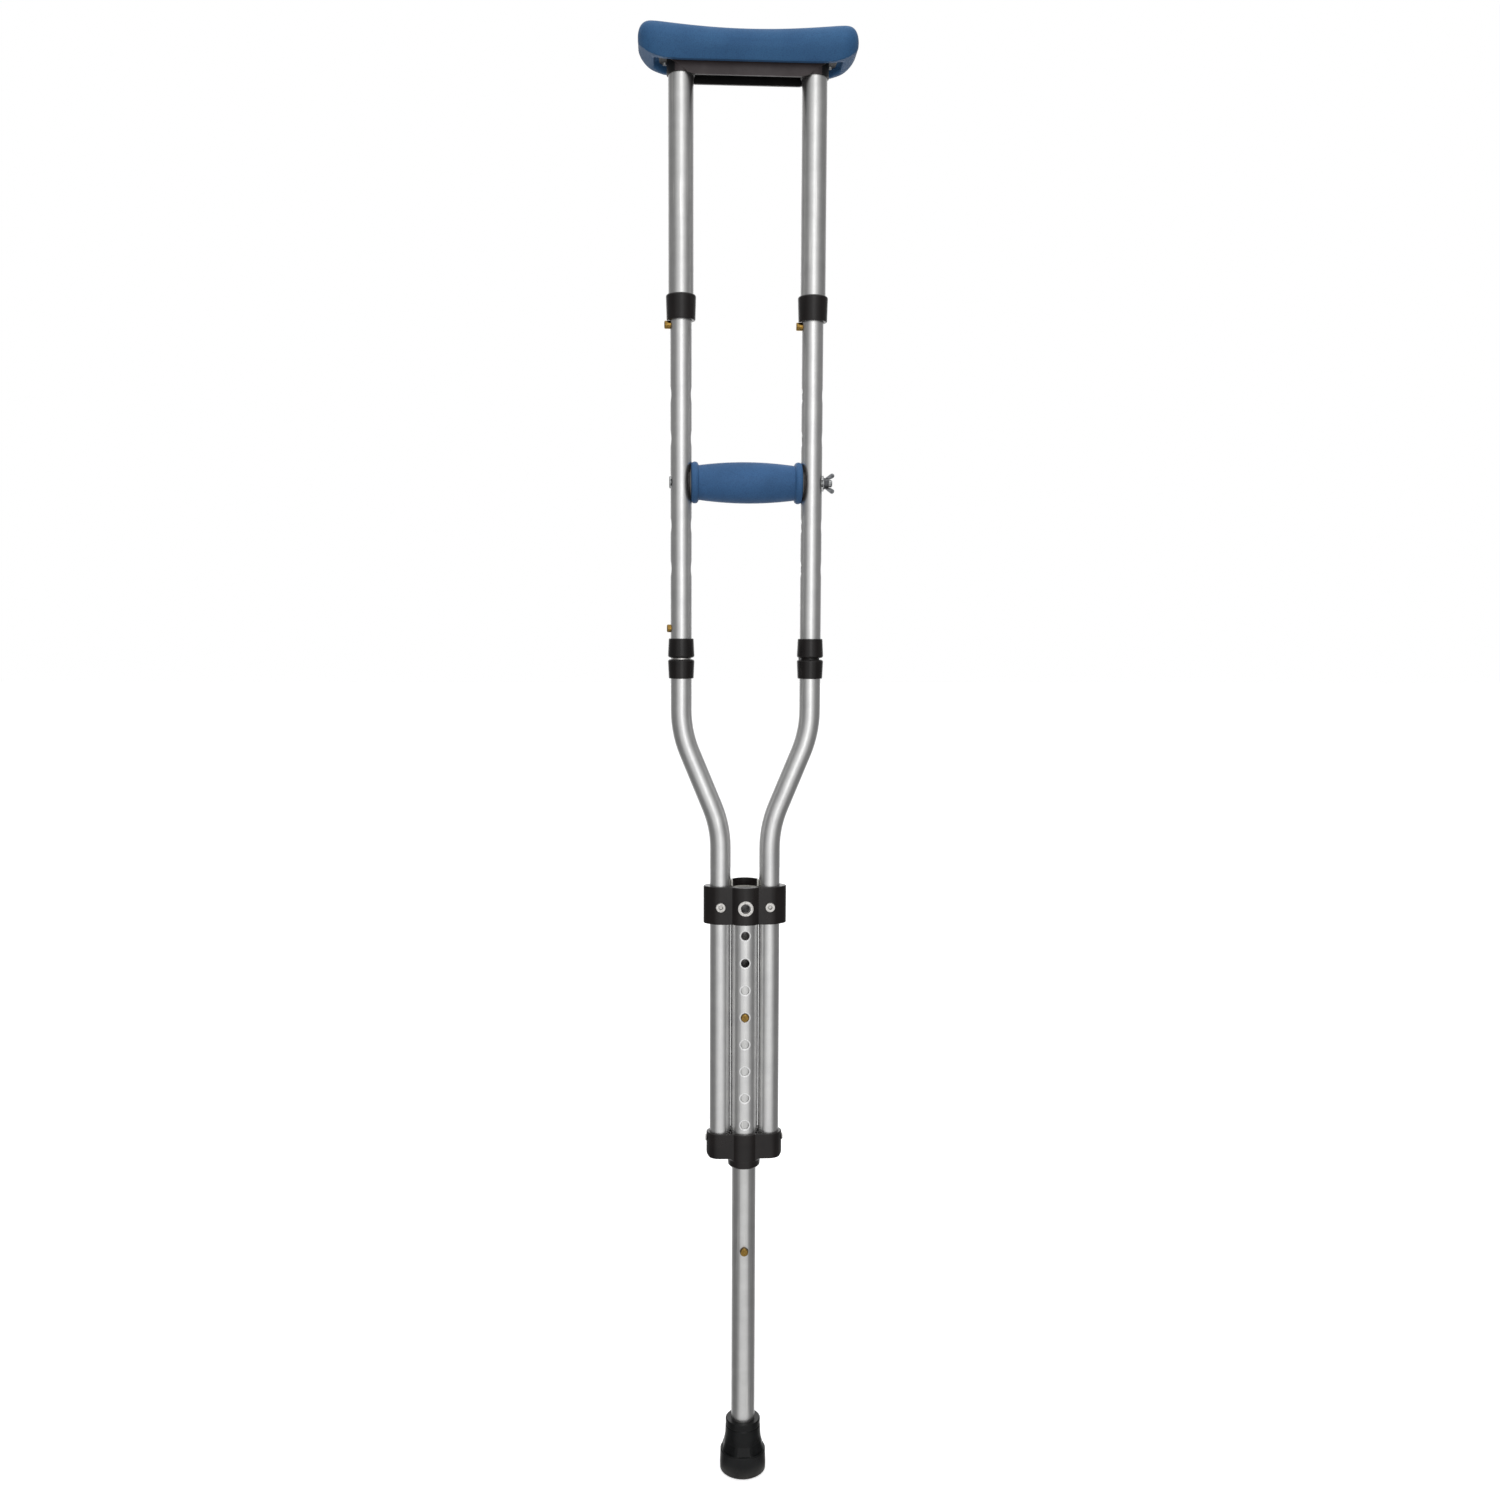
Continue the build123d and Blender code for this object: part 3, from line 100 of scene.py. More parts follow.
def finish_piece(piece, name, levels):
    """Smooths a modelled piece, puts its object at the origin and names it."""
    clear_selection()
    piece.select_set(True)
    bpy.context.view_layer.objects.active = piece
    bpy.ops.object.transform_apply(location=True, rotation=True, scale=True)
    smooth = piece.modifiers.new("smooth", "SUBSURF")
    smooth.levels = levels
    smooth.render_levels = levels
    bpy.ops.object.modifier_apply(modifier=smooth.name)
    bpy.ops.object.shade_smooth()
    piece.name = name
    piece.data.name = name
    print(name, "faces", len(piece.data.polygons))


# %% [markdown]
# ## The underarm pad
# The pad is soft foam with a vinyl skin, moulded in one piece. It wraps over the plastic
# saddle: the top dips in the middle and rises to rounded ends, the sides are upright, and
# below a crease they turn in under the saddle. It is not a stuffed cushion, so no cloth
# simulation is needed. A block is cut into bands and the bands are scaled, then smoothed.

# %% Pad sizes
saddle_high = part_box("saddle_trough")[1]
pad_low, pad_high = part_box("underarm_pad")
PAD_HALF_LENGTH = pad_high.x
PAD_HALF_WIDTH = pad_high.y
PAD_LIP = pad_low.z + 1.0 * MM
PAD_CREASE = pad_low.z + 10.2 * MM
SIDE_CUT = PAD_CREASE + 6 * MM
PAD_MIDDLE_TOP = pad_high.z - 5.0 * MM
FIT = 0.3 * MM  # between the saddle and the hollow
POCKET_END = 81  # half the hollow's length, in millimetres
POCKET_HALF_LENGTH = POCKET_END * MM
POCKET_HALF_WIDTH = saddle_high.y + FIT
POCKET_CEILING = saddle_high.z + FIT
LIP_WIDTH = 4.2 * MM
LIP_SHARE = 0.85
SHOULDER = 11.5 * MM
SHOULDER_SHARE = 0.92
CROWN = 0.7 * MM
NEAR = 0.1 * MM
print("pad", round(2 * PAD_HALF_LENGTH / MM), "by", round(2 * PAD_HALF_WIDTH / MM), "mm")

# %% A block with cuts where the shape changes
clear_selection()
bpy.ops.mesh.primitive_cube_add(size=1, location=(0, 0, 0))
pad = bpy.context.object
bpy.ops.object.mode_set(mode="EDIT")
bpy.ops.mesh.select_all(action="SELECT")
bpy.ops.transform.resize(value=(
    2 * PAD_HALF_LENGTH, 2 * PAD_HALF_WIDTH, PAD_MIDDLE_TOP - PAD_LIP))
bpy.ops.transform.translate(value=(0, 0, (PAD_MIDDLE_TOP + PAD_LIP) / 2))
pad_stations = [x * MM for x in (0, 20, 40, 58, 73, POCKET_END, 85.5, 89, 92, 94)]
cut_all([side * x for x in pad_stations for side in ((1, -1) if x else (1,))], "X")
pad_rows = [y * MM for y in (6, 12, 20, 23.4)] + [POCKET_HALF_WIDTH]
cut_all([side * y for y in pad_rows for side in (1, -1)], "Y")
cut_all([PAD_CREASE, SIDE_CUT], "Z")
print("block faces", len(bmesh.from_edit_mesh(pad.data).faces))

# %% The hollow that takes the saddle
pick("faces", lambda p: p.z < PAD_LIP + NEAR and abs(p.x) < POCKET_HALF_LENGTH + NEAR
     and abs(p.y) < POCKET_HALF_WIDTH + NEAR)
bpy.ops.mesh.extrude_region_move(
    TRANSFORM_OT_translate={"value": (0, 0, POCKET_CEILING - PAD_LIP)})

# %% The sides turn in below the crease
pick("verts", lambda p: p.z < PAD_LIP + NEAR and abs(p.y) > PAD_HALF_WIDTH - NEAR)
turn_in = (POCKET_HALF_WIDTH + LIP_WIDTH) / PAD_HALF_WIDTH
bpy.ops.transform.resize(value=(1, turn_in, 1), center_override=(0, 0, PAD_LIP))
# The two rows of points on the lip follow, so that they stay inside its new edge.
pick("verts", lambda p: p.z < PAD_LIP + NEAR
     and POCKET_HALF_WIDTH + NEAR < abs(p.y) < PAD_HALF_WIDTH - NEAR
     and abs(abs(p.y) - turn_in * PAD_HALF_WIDTH) > NEAR)
bpy.ops.transform.resize(value=(1, LIP_SHARE, 1), center_override=(0, 0, PAD_LIP))
bpy.ops.object.mode_set(mode="OBJECT")
print("lip turned in to", round(turn_in * PAD_HALF_WIDTH / MM, 1), "mm")

# %% The long top edges are rounded over
def shoulder_drop(y):
    """How far the top falls towards its long edges, along a quarter circle."""
    over = max(0, abs(y) - (PAD_HALF_WIDTH - SHOULDER)) / SHOULDER
    return SHOULDER * (1 - math.sqrt(max(0, 1 - min(over, 1) ** 2)))


def round_shoulders(co):
    """Lowers the points of the top face by most of the shoulder curve, with a slight crown."""
    if co.z > PAD_MIDDLE_TOP - NEAR:
        co.z -= shoulder_drop(co.y) * SHOULDER_SHARE
        co.z += CROWN * (1 - (co.y / PAD_HALF_WIDTH) ** 2)
    return co


move_points(pad, round_shoulders)
print("shoulders", SHOULDER / MM, "mm")

# %% Each band is scaled to its own height and width
# At each cut along the pad, in millimetres from the middle: how far the bottom rises, how far
# the top rises, and the share of the width that is kept.
pad_bands = {
    0: (0.0, 0.0, 1.0), 20: (0.0, 0.3, 1.0), 40: (0.0, 1.3, 1.0), 58: (0.0, 2.7, 1.0),
    73: (0.6, 4.1, 1.0), POCKET_END: (2.8, 4.9, 0.98), 85.5: (5.0, 5.1, 0.94),
    89: (7.6, 4.7, 0.86), 92: (10.6, 3.0, 0.74), 94: (13.4, 0.2, 0.6), 95: (15.8, -3.2, 0.44),
}
POCKET_END_WIDTH = 0.6  # the hollow narrows to this share of its width at each end
full_height = PAD_MIDDLE_TOP - PAD_LIP


def shape_band(co):
    """Fits a point's height and width to the band it lies in."""
    nearest = min(pad_bands, key=lambda x: abs(abs(co.x) / MM - x))
    bottom, top, width = pad_bands[nearest]
    in_pocket = (abs(co.x) < POCKET_HALF_LENGTH + NEAR and abs(co.y) < POCKET_HALF_WIDTH + NEAR
                 and abs(co.z - POCKET_CEILING) < NEAR)
    share = (co.z - PAD_LIP) / full_height
    if not in_pocket:
        co.z += (bottom * (1 - share) + top * share) * MM
    if nearest == POCKET_END and abs(co.y) < POCKET_HALF_WIDTH + NEAR and share < 0.5:
        width = POCKET_END_WIDTH
    co.y *= width
    return co


move_points(pad, shape_band)
print("pad bands", len(pad_bands))

# %% Creases keep the turned-in edge and the rim of the hollow crisp
CREASE_HALF_LENGTH = 60 * MM
RIM_HALF_LENGTH = 74 * MM
CREASE_REACH = 0.8 * MM
RIM_REACH = 0.7 * MM
OUTERMOST = PAD_HALF_WIDTH * 0.98
SIDE_CREASE = 0.3
RIM_CREASE = 0.6
bpy.context.view_layer.objects.active = pad
bpy.ops.object.mode_set(mode="EDIT")
pick("edges", lambda p: abs(p.z - PAD_CREASE) < CREASE_REACH
     and abs(p.y) > OUTERMOST and abs(p.x) < CREASE_HALF_LENGTH)
bpy.ops.transform.edge_crease(value=SIDE_CREASE)
pick("edges", lambda p: p.z < PAD_LIP + RIM_REACH and abs(p.x) < RIM_HALF_LENGTH)
bpy.ops.transform.edge_crease(value=RIM_CREASE)
bpy.ops.object.mode_set(mode="OBJECT")
finish_piece(pad, "pad_of_moulded_foam", 2)
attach(pad, "upper_frame")
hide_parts("underarm_pad")

# %% [markdown]
# ## The hand grip
# The grip is a foam sleeve with a vinyl skin, moulded round a hard core. It is thickest in
# the middle of the hand, narrows towards the ends and finishes in two rounded flanges whose
# faces are hollowed where they meet the round tubes. A cylinder is cut into rings, each ring
# is scaled to its radius, and the two ends are bridged to open the bore.

# %% Grip sizes
grip_low, grip_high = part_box("grip_sleeve")
grip_z = (grip_low.z + grip_high.z) / 2
GRIP_HALF = grip_high.x
FLANGE = 6.8 * MM
BARREL_MIDDLE = 18.2 * MM
BARREL_END = 15.3 * MM
END_FACE = 15.6 * MM  # radius of the flat end face, inside the flange's rounding
END_INSET = 1.6 * MM
BORE = 11 * MM
TINY = 0.02 * MM
flange_root = GRIP_HALF - FLANGE


def barrel_radius(x):
    """The barrel's radius at x along the grip, thickest in the middle."""
    return BARREL_MIDDLE - (BARREL_MIDDLE - BARREL_END) * (x / flange_root) ** 2


ring_radius = {x * MM: barrel_radius(x * MM) for x in (0, 7, 14, 21, 28, 34, 39, 42)}
# The flange swells in a few steps: millimetres past its root, and radius.
for step, radius in ((0.0, 15.3), (0.25, 16.6), (1.1, 17.9), (3.2, 18.6),
                     (5.2, 18.1), (6.4, 17.1)):
    ring_radius[flange_root + step * MM] = radius * MM
print("grip", round(2 * GRIP_HALF / MM), "mm long, rings", len(ring_radius))

# %% A cylinder cut into rings
clear_selection()
bpy.ops.mesh.primitive_cylinder_add(
    vertices=64, radius=BARREL_MIDDLE, depth=2 * GRIP_HALF, end_fill_type="NGON",
    location=(0, 0, grip_z), rotation=(0, math.pi / 2, 0))
grip = bpy.context.object
bpy.ops.object.transform_apply(location=True, rotation=True, scale=True)
bpy.ops.object.mode_set(mode="EDIT")
cut_all([side * x for x in ring_radius for side in ((1, -1) if x else (1,))], "X")
for x, radius in ring_radius.items():
    pick("verts", lambda p: abs(abs(p.x) - x) < TINY)
    share = radius / BARREL_MIDDLE
    bpy.ops.transform.resize(value=(1, share, share), center_override=(0, 0, grip_z))
end_share = END_FACE / BARREL_MIDDLE
pick("verts", lambda p: abs(p.x) > GRIP_HALF - TINY)
bpy.ops.transform.resize(value=(1, end_share, end_share), center_override=(0, 0, grip_z))
print("barrel", round(2 * BARREL_MIDDLE / MM, 1), "mm thick in the middle")

# %% The bore, opened by joining the two end faces
pick("faces", lambda p: abs(p.x) > GRIP_HALF - TINY)
bpy.ops.mesh.inset(thickness=END_INSET, use_individual=True)
bpy.ops.mesh.inset(thickness=END_FACE - END_INSET - BORE, use_individual=True)
bpy.ops.mesh.bridge_edge_loops()
bpy.ops.mesh.select_all(action="SELECT")
bpy.ops.mesh.normals_make_consistent(inside=False)
bpy.ops.object.mode_set(mode="OBJECT")
finish_piece(grip, "grip_of_moulded_foam", 1)

# %% The end faces are hollowed to fit round the tubes
tube_low, tube_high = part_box("middle_tube_right")
TUBE_CENTRE = (tube_low.x + tube_high.x) / 2
TUBE_GAP = 0.35 * MM
TUBE_CLEAR = (tube_high.x - tube_low.x) / 2 + TUBE_GAP


def clear_of_tubes(co):
    """Presses an end point back to just clear of the tube beside it."""
    off = TUBE_CENTRE - abs(co.x)
    if math.hypot(off, co.y) < TUBE_CLEAR:
        co.x = math.copysign(TUBE_CENTRE - math.sqrt(TUBE_CLEAR ** 2 - co.y ** 2), co.x)
    return co


move_points(grip, clear_of_tubes)
print("end faces hollowed to", TUBE_GAP / MM, "mm off the tubes")
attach(grip, "hand_frame")
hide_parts("grip_sleeve")

# %% [markdown]
# ## How the finishes are made
# A finish starts from the real material and how its surface was made. Colours are written as
# sRGB hex values, as on a paint chart, and one function turns them into the linear values
# that the shader works in. One more function adds a node with its settings and its links.
# Patterns read Object coordinates, which here are metres, so their scale comes from real sizes.

# %% Colour, scale and node helpers
def linear(hex_colour):
    """An sRGB hex colour as linear red, green, blue and alpha."""
    values = [int(hex_colour[i:i + 2], 16) / 255 for i in (1, 3, 5)]
    return [v / 12.92 if v <= 0.04045 else ((v + 0.055) / 1.055) ** 2.4 for v in values] + [1]


def per(size_mm):
    """The pattern scale that repeats about once in this many millimetres."""
    return 1 / (size_mm * MM)


def add(tree, kind, inputs=None, **settings):
    """Adds one node. Each input is given a value, or another node's output to link to."""
    node = tree.nodes.new(kind)
    for name, value in settings.items():
        setattr(node, name, value)
    for name, value in (inputs or {}).items():
        if isinstance(value, bpy.types.NodeSocket):
            tree.links.new(value, node.inputs[name])
        else:
            node.inputs[name].default_value = value
    return node


def new_finish(name):
    """An empty material with its output, its shader and its place in Object coordinates."""
    material = bpy.data.materials.new(name)
    material.use_nodes = True
    tree = material.node_tree
    tree.nodes.clear()
    shader = add(tree, "ShaderNodeBsdfPrincipled")
    output = add(tree, "ShaderNodeOutputMaterial")
    tree.links.new(shader.outputs["BSDF"], output.inputs["Surface"])
    place = add(tree, "ShaderNodeTexCoord").outputs["Object"]
    return material, tree, shader, place


def wire_up(tree, shader, colour, rough, bump):
    """Links a finish's colour, roughness and bump nodes to its shader."""
    tree.links.new(colour.outputs[2], shader.inputs["Base Color"])
    tree.links.new(rough.outputs["Result"], shader.inputs["Roughness"])
    tree.links.new(bump.outputs["Normal"], shader.inputs["Normal"])


def give(material, *names):
    """Puts a finish on CAD parts, by name."""
    for name in names:
        for slot in parts[name].material_slots:
            slot.material = material
    print(material.name, "on", len(names), "parts")


# %% [markdown]
# ## Satin anodised aluminium
# The tubes are drawn through a die, etched and clear anodised. That gives an even, pale grey
# metal whose reflections are soft, with very fine lines along the tube. The tubes that slide
# in each other also pick up a few long, faint rub marks. The real lines are under 0.1 mm
# apart: here they are drawn about 0.5 mm apart so that they show. The height holes were cut
# after anodising, so each has a thin rim of bare metal. That rim is painted white and made less
# metallic, a painted highlight for the light that its countersink catches.

# %% The painted highlights on the rims of the height holes
button_low, button_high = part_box("leg_button_upper")
HOLE_HEIGHT = (button_low.z + button_high.z) / 2
HOLE_PITCH = 25.4 * MM
HOLE_RIM = 5.0 * MM
RIM_FADE = 0.35 * MM
print("a hole every", HOLE_PITCH / MM, "mm from", round(HOLE_HEIGHT / MM, 1), "mm")


def painted_rim_highlights(tree, place):
    """A node that is 1 on the rims of the row of height holes in the front, 0 elsewhere; it
    marks where the painted highlight goes.
    """
    axes = add(tree, "ShaderNodeSeparateXYZ", {"Vector": place})
    from_hole = add(tree, "ShaderNodeMath", {
        0: axes.outputs["Z"], 1: HOLE_HEIGHT - HOLE_PITCH / 2, 2: HOLE_HEIGHT + HOLE_PITCH / 2},
        operation="WRAP")
    up = add(tree, "ShaderNodeMath", {
        0: from_hole.outputs["Value"], 1: HOLE_HEIGHT}, operation="SUBTRACT")
    flat = add(tree, "ShaderNodeCombineXYZ", {
        "X": axes.outputs["X"], "Y": 0.0, "Z": up.outputs["Value"]})
    away = add(tree, "ShaderNodeVectorMath", {0: flat.outputs["Vector"]}, operation="LENGTH")
    front = add(tree, "ShaderNodeMath", {0: axes.outputs["Y"], 1: 0.0}, operation="LESS_THAN")
    near = add(tree, "ShaderNodeMapRange", {
        "Value": away.outputs["Value"], "From Min": HOLE_RIM, "From Max": HOLE_RIM + RIM_FADE,
        "To Min": 1.0, "To Max": 0.0})
    return add(tree, "ShaderNodeMath", {
        0: near.outputs["Result"], 1: front.outputs["Value"]}, operation="MULTIPLY")


# %% Tube finishes
def tube_finish(name, pale, deep, roughness, rub, drilled=False):
    """Drawn aluminium tube: lines along Z, cloudy etching, and rub marks as strong as rub."""
    material, tree, shader, place = new_finish(name)
    along = add(tree, "ShaderNodeMapping", {
        "Vector": place, "Scale": (per(0.5), per(0.5), per(45))})
    lines = add(tree, "ShaderNodeTexNoise", {
        "Vector": along.outputs["Vector"], "Scale": 1.0, "Detail": 3.0, "Roughness": 0.55})
    clouds = add(tree, "ShaderNodeTexNoise", {
        "Vector": place, "Scale": per(14), "Detail": 4.0, "Roughness": 0.6})
    rub_place = add(tree, "ShaderNodeMapping", {
        "Vector": place, "Scale": (per(1.6), per(1.6), per(70)), "Location": (3.1, 1.7, 0.4)})
    rub_noise = add(tree, "ShaderNodeTexNoise", {
        "Vector": rub_place.outputs["Vector"], "Scale": 1.0, "Detail": 1.0})
    rubbed = add(tree, "ShaderNodeMapRange", {
        "Value": rub_noise.outputs["Fac"], "From Min": 0.66, "From Max": 0.74,
        "To Min": 0.0, "To Max": rub})
    tone = add(tree, "ShaderNodeMapRange", {
        "Value": clouds.outputs["Fac"], "From Min": 0.3, "From Max": 0.7})
    base = add(tree, "ShaderNodeMix", {
        "Factor": tone.outputs["Result"], "A": linear(pale), "B": linear(deep)},
        data_type="RGBA")
    worn = add(tree, "ShaderNodeMix", {
        "Factor": rubbed.outputs["Result"], "A": base.outputs[2], "B": linear("#F2F1EE")},
        data_type="RGBA")
    rough = add(tree, "ShaderNodeMapRange", {
        "Value": lines.outputs["Fac"], "From Min": 0.25, "From Max": 0.75,
        "To Min": roughness - 0.05, "To Max": roughness + 0.06})
    # On the hole rims the colour is painted white and the metal made less metallic: bare metal
    # with a painted highlight.
    if drilled:
        cut = painted_rim_highlights(tree, place)
        worn = add(tree, "ShaderNodeMix", {
            "Factor": cut.outputs["Value"], "A": worn.outputs[2], "B": linear("#FFFFFF")},
            data_type="RGBA")
        dull = add(tree, "ShaderNodeMapRange", {
            "Value": cut.outputs["Value"], "To Min": 1.0, "To Max": 0.25})
        tree.links.new(dull.outputs["Result"], shader.inputs["Metallic"])
    bump = add(tree, "ShaderNodeBump", {
        "Height": lines.outputs["Fac"], "Strength": 0.35, "Distance": 0.02 * MM})
    wire_up(tree, shader, worn, rough, bump)
    shader.inputs["Metallic"].default_value = 1.0
    return material


satin_tube = tube_finish("anodised_aluminium_drawn_satin", "#DEDEDD", "#D2D2D2", 0.33, 0.35)
sliding_tube = tube_finish("anodised_aluminium_rubbed", "#D6D6D5", "#CACAC9", 0.33, 0.8)
drilled_tube = tube_finish(
    "anodised_aluminium_drilled", "#DEDEDD", "#D2D2D2", 0.31, 0.35, drilled=True)
give(satin_tube, "middle_tube_left", "middle_tube_right", "bow_tube_left", "bow_tube_right")
give(drilled_tube, "centre_tube")
give(sliding_tube, "leg_tube", "upper_tube_left", "upper_tube_right")

# %% [markdown]
# ## Small metal parts
# The rivets and the dished eyelet are bare aluminium, bright from the press that closed them.
# The snap buttons are turned brass, tarnished brown. Bolt, washers, screws and hinge pins are
# zinc plated steel gone dull, the wing nut is die cast zinc, dark with age, and the springs
# are blued strip. All have small dull patches and fine tool marks, drawn coarser than the real
# ones so that they show, and their recesses are painted dark, a painted shade.

# %% Small metal finishes
RECESS = 1.5 * MM


def small_metal(name, colour, dull, roughness, patch_mm, bump_mm):
    """A small metal part: two tones in patches, uneven gloss, tool marks and painted shade in
    its recesses.
    """
    material, tree, shader, place = new_finish(name)
    patches = add(tree, "ShaderNodeTexNoise", {
        "Vector": place, "Scale": per(patch_mm), "Detail": 3.0, "Roughness": 0.6})
    marks = add(tree, "ShaderNodeTexNoise", {
        "Vector": place, "Scale": per(0.35), "Detail": 2.0})
    tone = add(tree, "ShaderNodeMapRange", {
        "Value": patches.outputs["Fac"], "From Min": 0.35, "From Max": 0.7})
    base = add(tree, "ShaderNodeMix", {
        "Factor": tone.outputs["Result"], "A": linear(colour), "B": linear(dull)},
        data_type="RGBA")
    # Ambient occlusion paints the recesses dark: a painted shade.
    recess = add(tree, "ShaderNodeAmbientOcclusion", {"Distance": RECESS}, only_local=True)
    painted_recess_shade = add(tree, "ShaderNodeMapRange", {
        "Value": recess.outputs["AO"], "From Min": 0.45, "From Max": 0.85,
        "To Min": 0.85, "To Max": 0.0})
    base = add(tree, "ShaderNodeMix", {
        "Factor": painted_recess_shade.outputs["Result"], "A": base.outputs[2], "B": linear("#1E1C1A")},
        data_type="RGBA")
    rough = add(tree, "ShaderNodeMapRange", {
        "Value": patches.outputs["Fac"], "From Min": 0.3, "From Max": 0.7,
        "To Min": roughness - 0.06, "To Max": roughness + 0.1})
    bump = add(tree, "ShaderNodeBump", {
        "Height": marks.outputs["Fac"], "Strength": 0.3, "Distance": bump_mm * MM})
    wire_up(tree, shader, base, rough, bump)
    shader.inputs["Metallic"].default_value = 1.0
    return material


bright = small_metal("bare_aluminium_pressed_bright", "#D6D4D1", "#A8A5A1", 0.3, 1.4, 0.04)
brass = small_metal("brass_turned_tarnished", "#A3823F", "#5E4A2E", 0.2, 1.2, 0.02)
zinc = small_metal("zinc_plated_steel_dulled", "#A9ABAB", "#77797A", 0.3, 2.6, 0.03)
cast_zinc = small_metal("zinc_die_cast_dark", "#626466", "#3C3D3F", 0.2, 2.6, 0.04)
spring = small_metal("spring_steel_blued_strip", "#7E8083", "#5C5E61", 0.34, 5.0, 0.02)
give(bright, "yoke_eyelet", "yoke_rivets", "lower_yoke_rivets", "fold_plug_left")
give(brass, "fold_button", "top_button_left", "top_button_right",
     "leg_button_upper", "leg_button_lower")
give(zinc, "hinge_pin_left", "hinge_pin_right", "grip_bolt", "grip_washer",
     "saddle_screws", "tip_washer")
give(cast_zinc, "wing_nut")
give(spring, "leg_button_spring_upper", "leg_button_spring_lower",
     "top_button_spring_left", "top_button_spring_right", "fold_latch")

# %% [markdown]
# ## Black moulded plastic
# The yokes, collars, bushes, grip core and saddle are injection moulded nylon. The mould is
# spark eroded, which leaves a fine matt grain about 0.1 mm across. It is drawn 0.5 mm across
# here, because the real one is too fine to show. Handling leaves slightly greyer, shinier
# patches, so the roughness changes slowly over a few centimetres. The saddle is browner and
# more matt, and inside its hollow it is painted nearly black, a painted shade. The fold collars
# are glossier. The ring that guides the leg into the centre tube is left undyed, a pale ivory.

# %% Plastic finish
def plastic_finish(name, colour, worn, roughness, grain_mm, depth_mm, shade_inside_y=None):
    """Injection moulded plastic with a spark-eroded grain and patches polished by handling.

    Given a distance from the middle, what lies nearer the middle than that is painted nearly
    black, a painted shade."""
    material, tree, shader, place = new_finish(name)
    grain = add(tree, "ShaderNodeTexNoise", {
        "Vector": place, "Scale": per(grain_mm), "Detail": 2.0, "Roughness": 0.6})
    handled = add(tree, "ShaderNodeTexNoise", {
        "Vector": place, "Scale": per(22), "Detail": 5.0, "Roughness": 0.65})
    tone = add(tree, "ShaderNodeMapRange", {
        "Value": handled.outputs["Fac"], "From Min": 0.42, "From Max": 0.75})
    base = add(tree, "ShaderNodeMix", {
        "Factor": tone.outputs["Result"], "A": linear(colour), "B": linear(worn)},
        data_type="RGBA")
    rough = add(tree, "ShaderNodeMapRange", {
        "Value": handled.outputs["Fac"], "From Min": 0.3, "From Max": 0.7,
        "To Min": roughness + 0.05, "To Max": roughness - 0.06})
    # Nearer the middle than the given distance, the colour is painted nearly black: a painted
    # shade inside the hollow.
    if shade_inside_y:
        axes = add(tree, "ShaderNodeSeparateXYZ", {"Vector": place})
        depth = add(tree, "ShaderNodeMath", {0: axes.outputs["Y"]}, operation="ABSOLUTE")
        painted_inside_shade = add(tree, "ShaderNodeMath", {
            0: depth.outputs["Value"], 1: shade_inside_y}, operation="LESS_THAN")
        base = add(tree, "ShaderNodeMix", {
            "Factor": painted_inside_shade.outputs["Value"], "A": base.outputs[2], "B": linear("#0B0A0A")},
            data_type="RGBA")
    bump = add(tree, "ShaderNodeBump", {
        "Height": grain.outputs["Fac"], "Strength": 0.35, "Distance": depth_mm * MM})
    wire_up(tree, shader, base, rough, bump)
    shader.inputs["IOR"].default_value = 1.5
    shader.inputs["Specular IOR Level"].default_value = 0.36
    return material


black_nylon = plastic_finish("nylon_moulded_black", "#161212", "#221D1C", 0.31, 0.5, 0.05)
glossy_nylon = plastic_finish("nylon_moulded_black_gloss", "#110E0E", "#1C1817", 0.27, 0.5, 0.03)
# How far in from the saddle's sides the painted shade of its hollow begins.
SADDLE_INSIDE = saddle_high.y - 4.8 * MM
saddle_nylon = plastic_finish("nylon_moulded_brown_black", "#3F3738", "#494142", 0.45, 0.6, 0.06,
                              shade_inside_y=SADDLE_INSIDE)
white_nylon = plastic_finish("nylon_moulded_natural", "#D8D7D0", "#CBC9C0", 0.42, 0.5, 0.04)
give(black_nylon, "upper_yoke", "lower_yoke", "upper_collar_left", "upper_collar_right",
     "grip_core", "guide_bush_left", "guide_bush_right", "leg_top_bush", "fold_plug_right")
give(glossy_nylon, "fold_collar_lower_left", "fold_collar_lower_right",
     "fold_collar_upper_left", "fold_collar_upper_right")
give(saddle_nylon, "saddle_trough")
give(white_nylon, "centre_guide")

# %% [markdown]
# ## Black rubber
# The tip is compression moulded rubber. It is nearly black, with a soft grey bloom where the
# wax in the rubber comes to the surface, and dust clings low on the foot.

# %% Rubber finish
DUST_FULL = 1.0 * MM
DUST_GONE = 12 * MM
rubber, tree, shader, place = new_finish("rubber_moulded_black")
pores = add(tree, "ShaderNodeTexNoise", {
    "Vector": place, "Scale": per(0.7), "Detail": 3.0, "Roughness": 0.65})
bloom = add(tree, "ShaderNodeTexNoise", {
    "Vector": place, "Scale": per(11), "Detail": 4.0, "Roughness": 0.6})
bloom_tone = add(tree, "ShaderNodeMapRange", {
    "Value": bloom.outputs["Fac"], "From Min": 0.4, "From Max": 0.72})
rubber_base = add(tree, "ShaderNodeMix", {
    "Factor": bloom_tone.outputs["Result"], "A": linear("#08090A"), "B": linear("#111314")},
    data_type="RGBA")
height = add(tree, "ShaderNodeSeparateXYZ", {"Vector": place})
dust_line = add(tree, "ShaderNodeMapRange", {
    "Value": height.outputs["Z"], "From Min": DUST_FULL, "From Max": DUST_GONE,
    "To Min": 0.2, "To Max": 0.0})
dusty = add(tree, "ShaderNodeMath", {
    0: dust_line.outputs["Result"], 1: bloom.outputs["Fac"]}, operation="MULTIPLY")
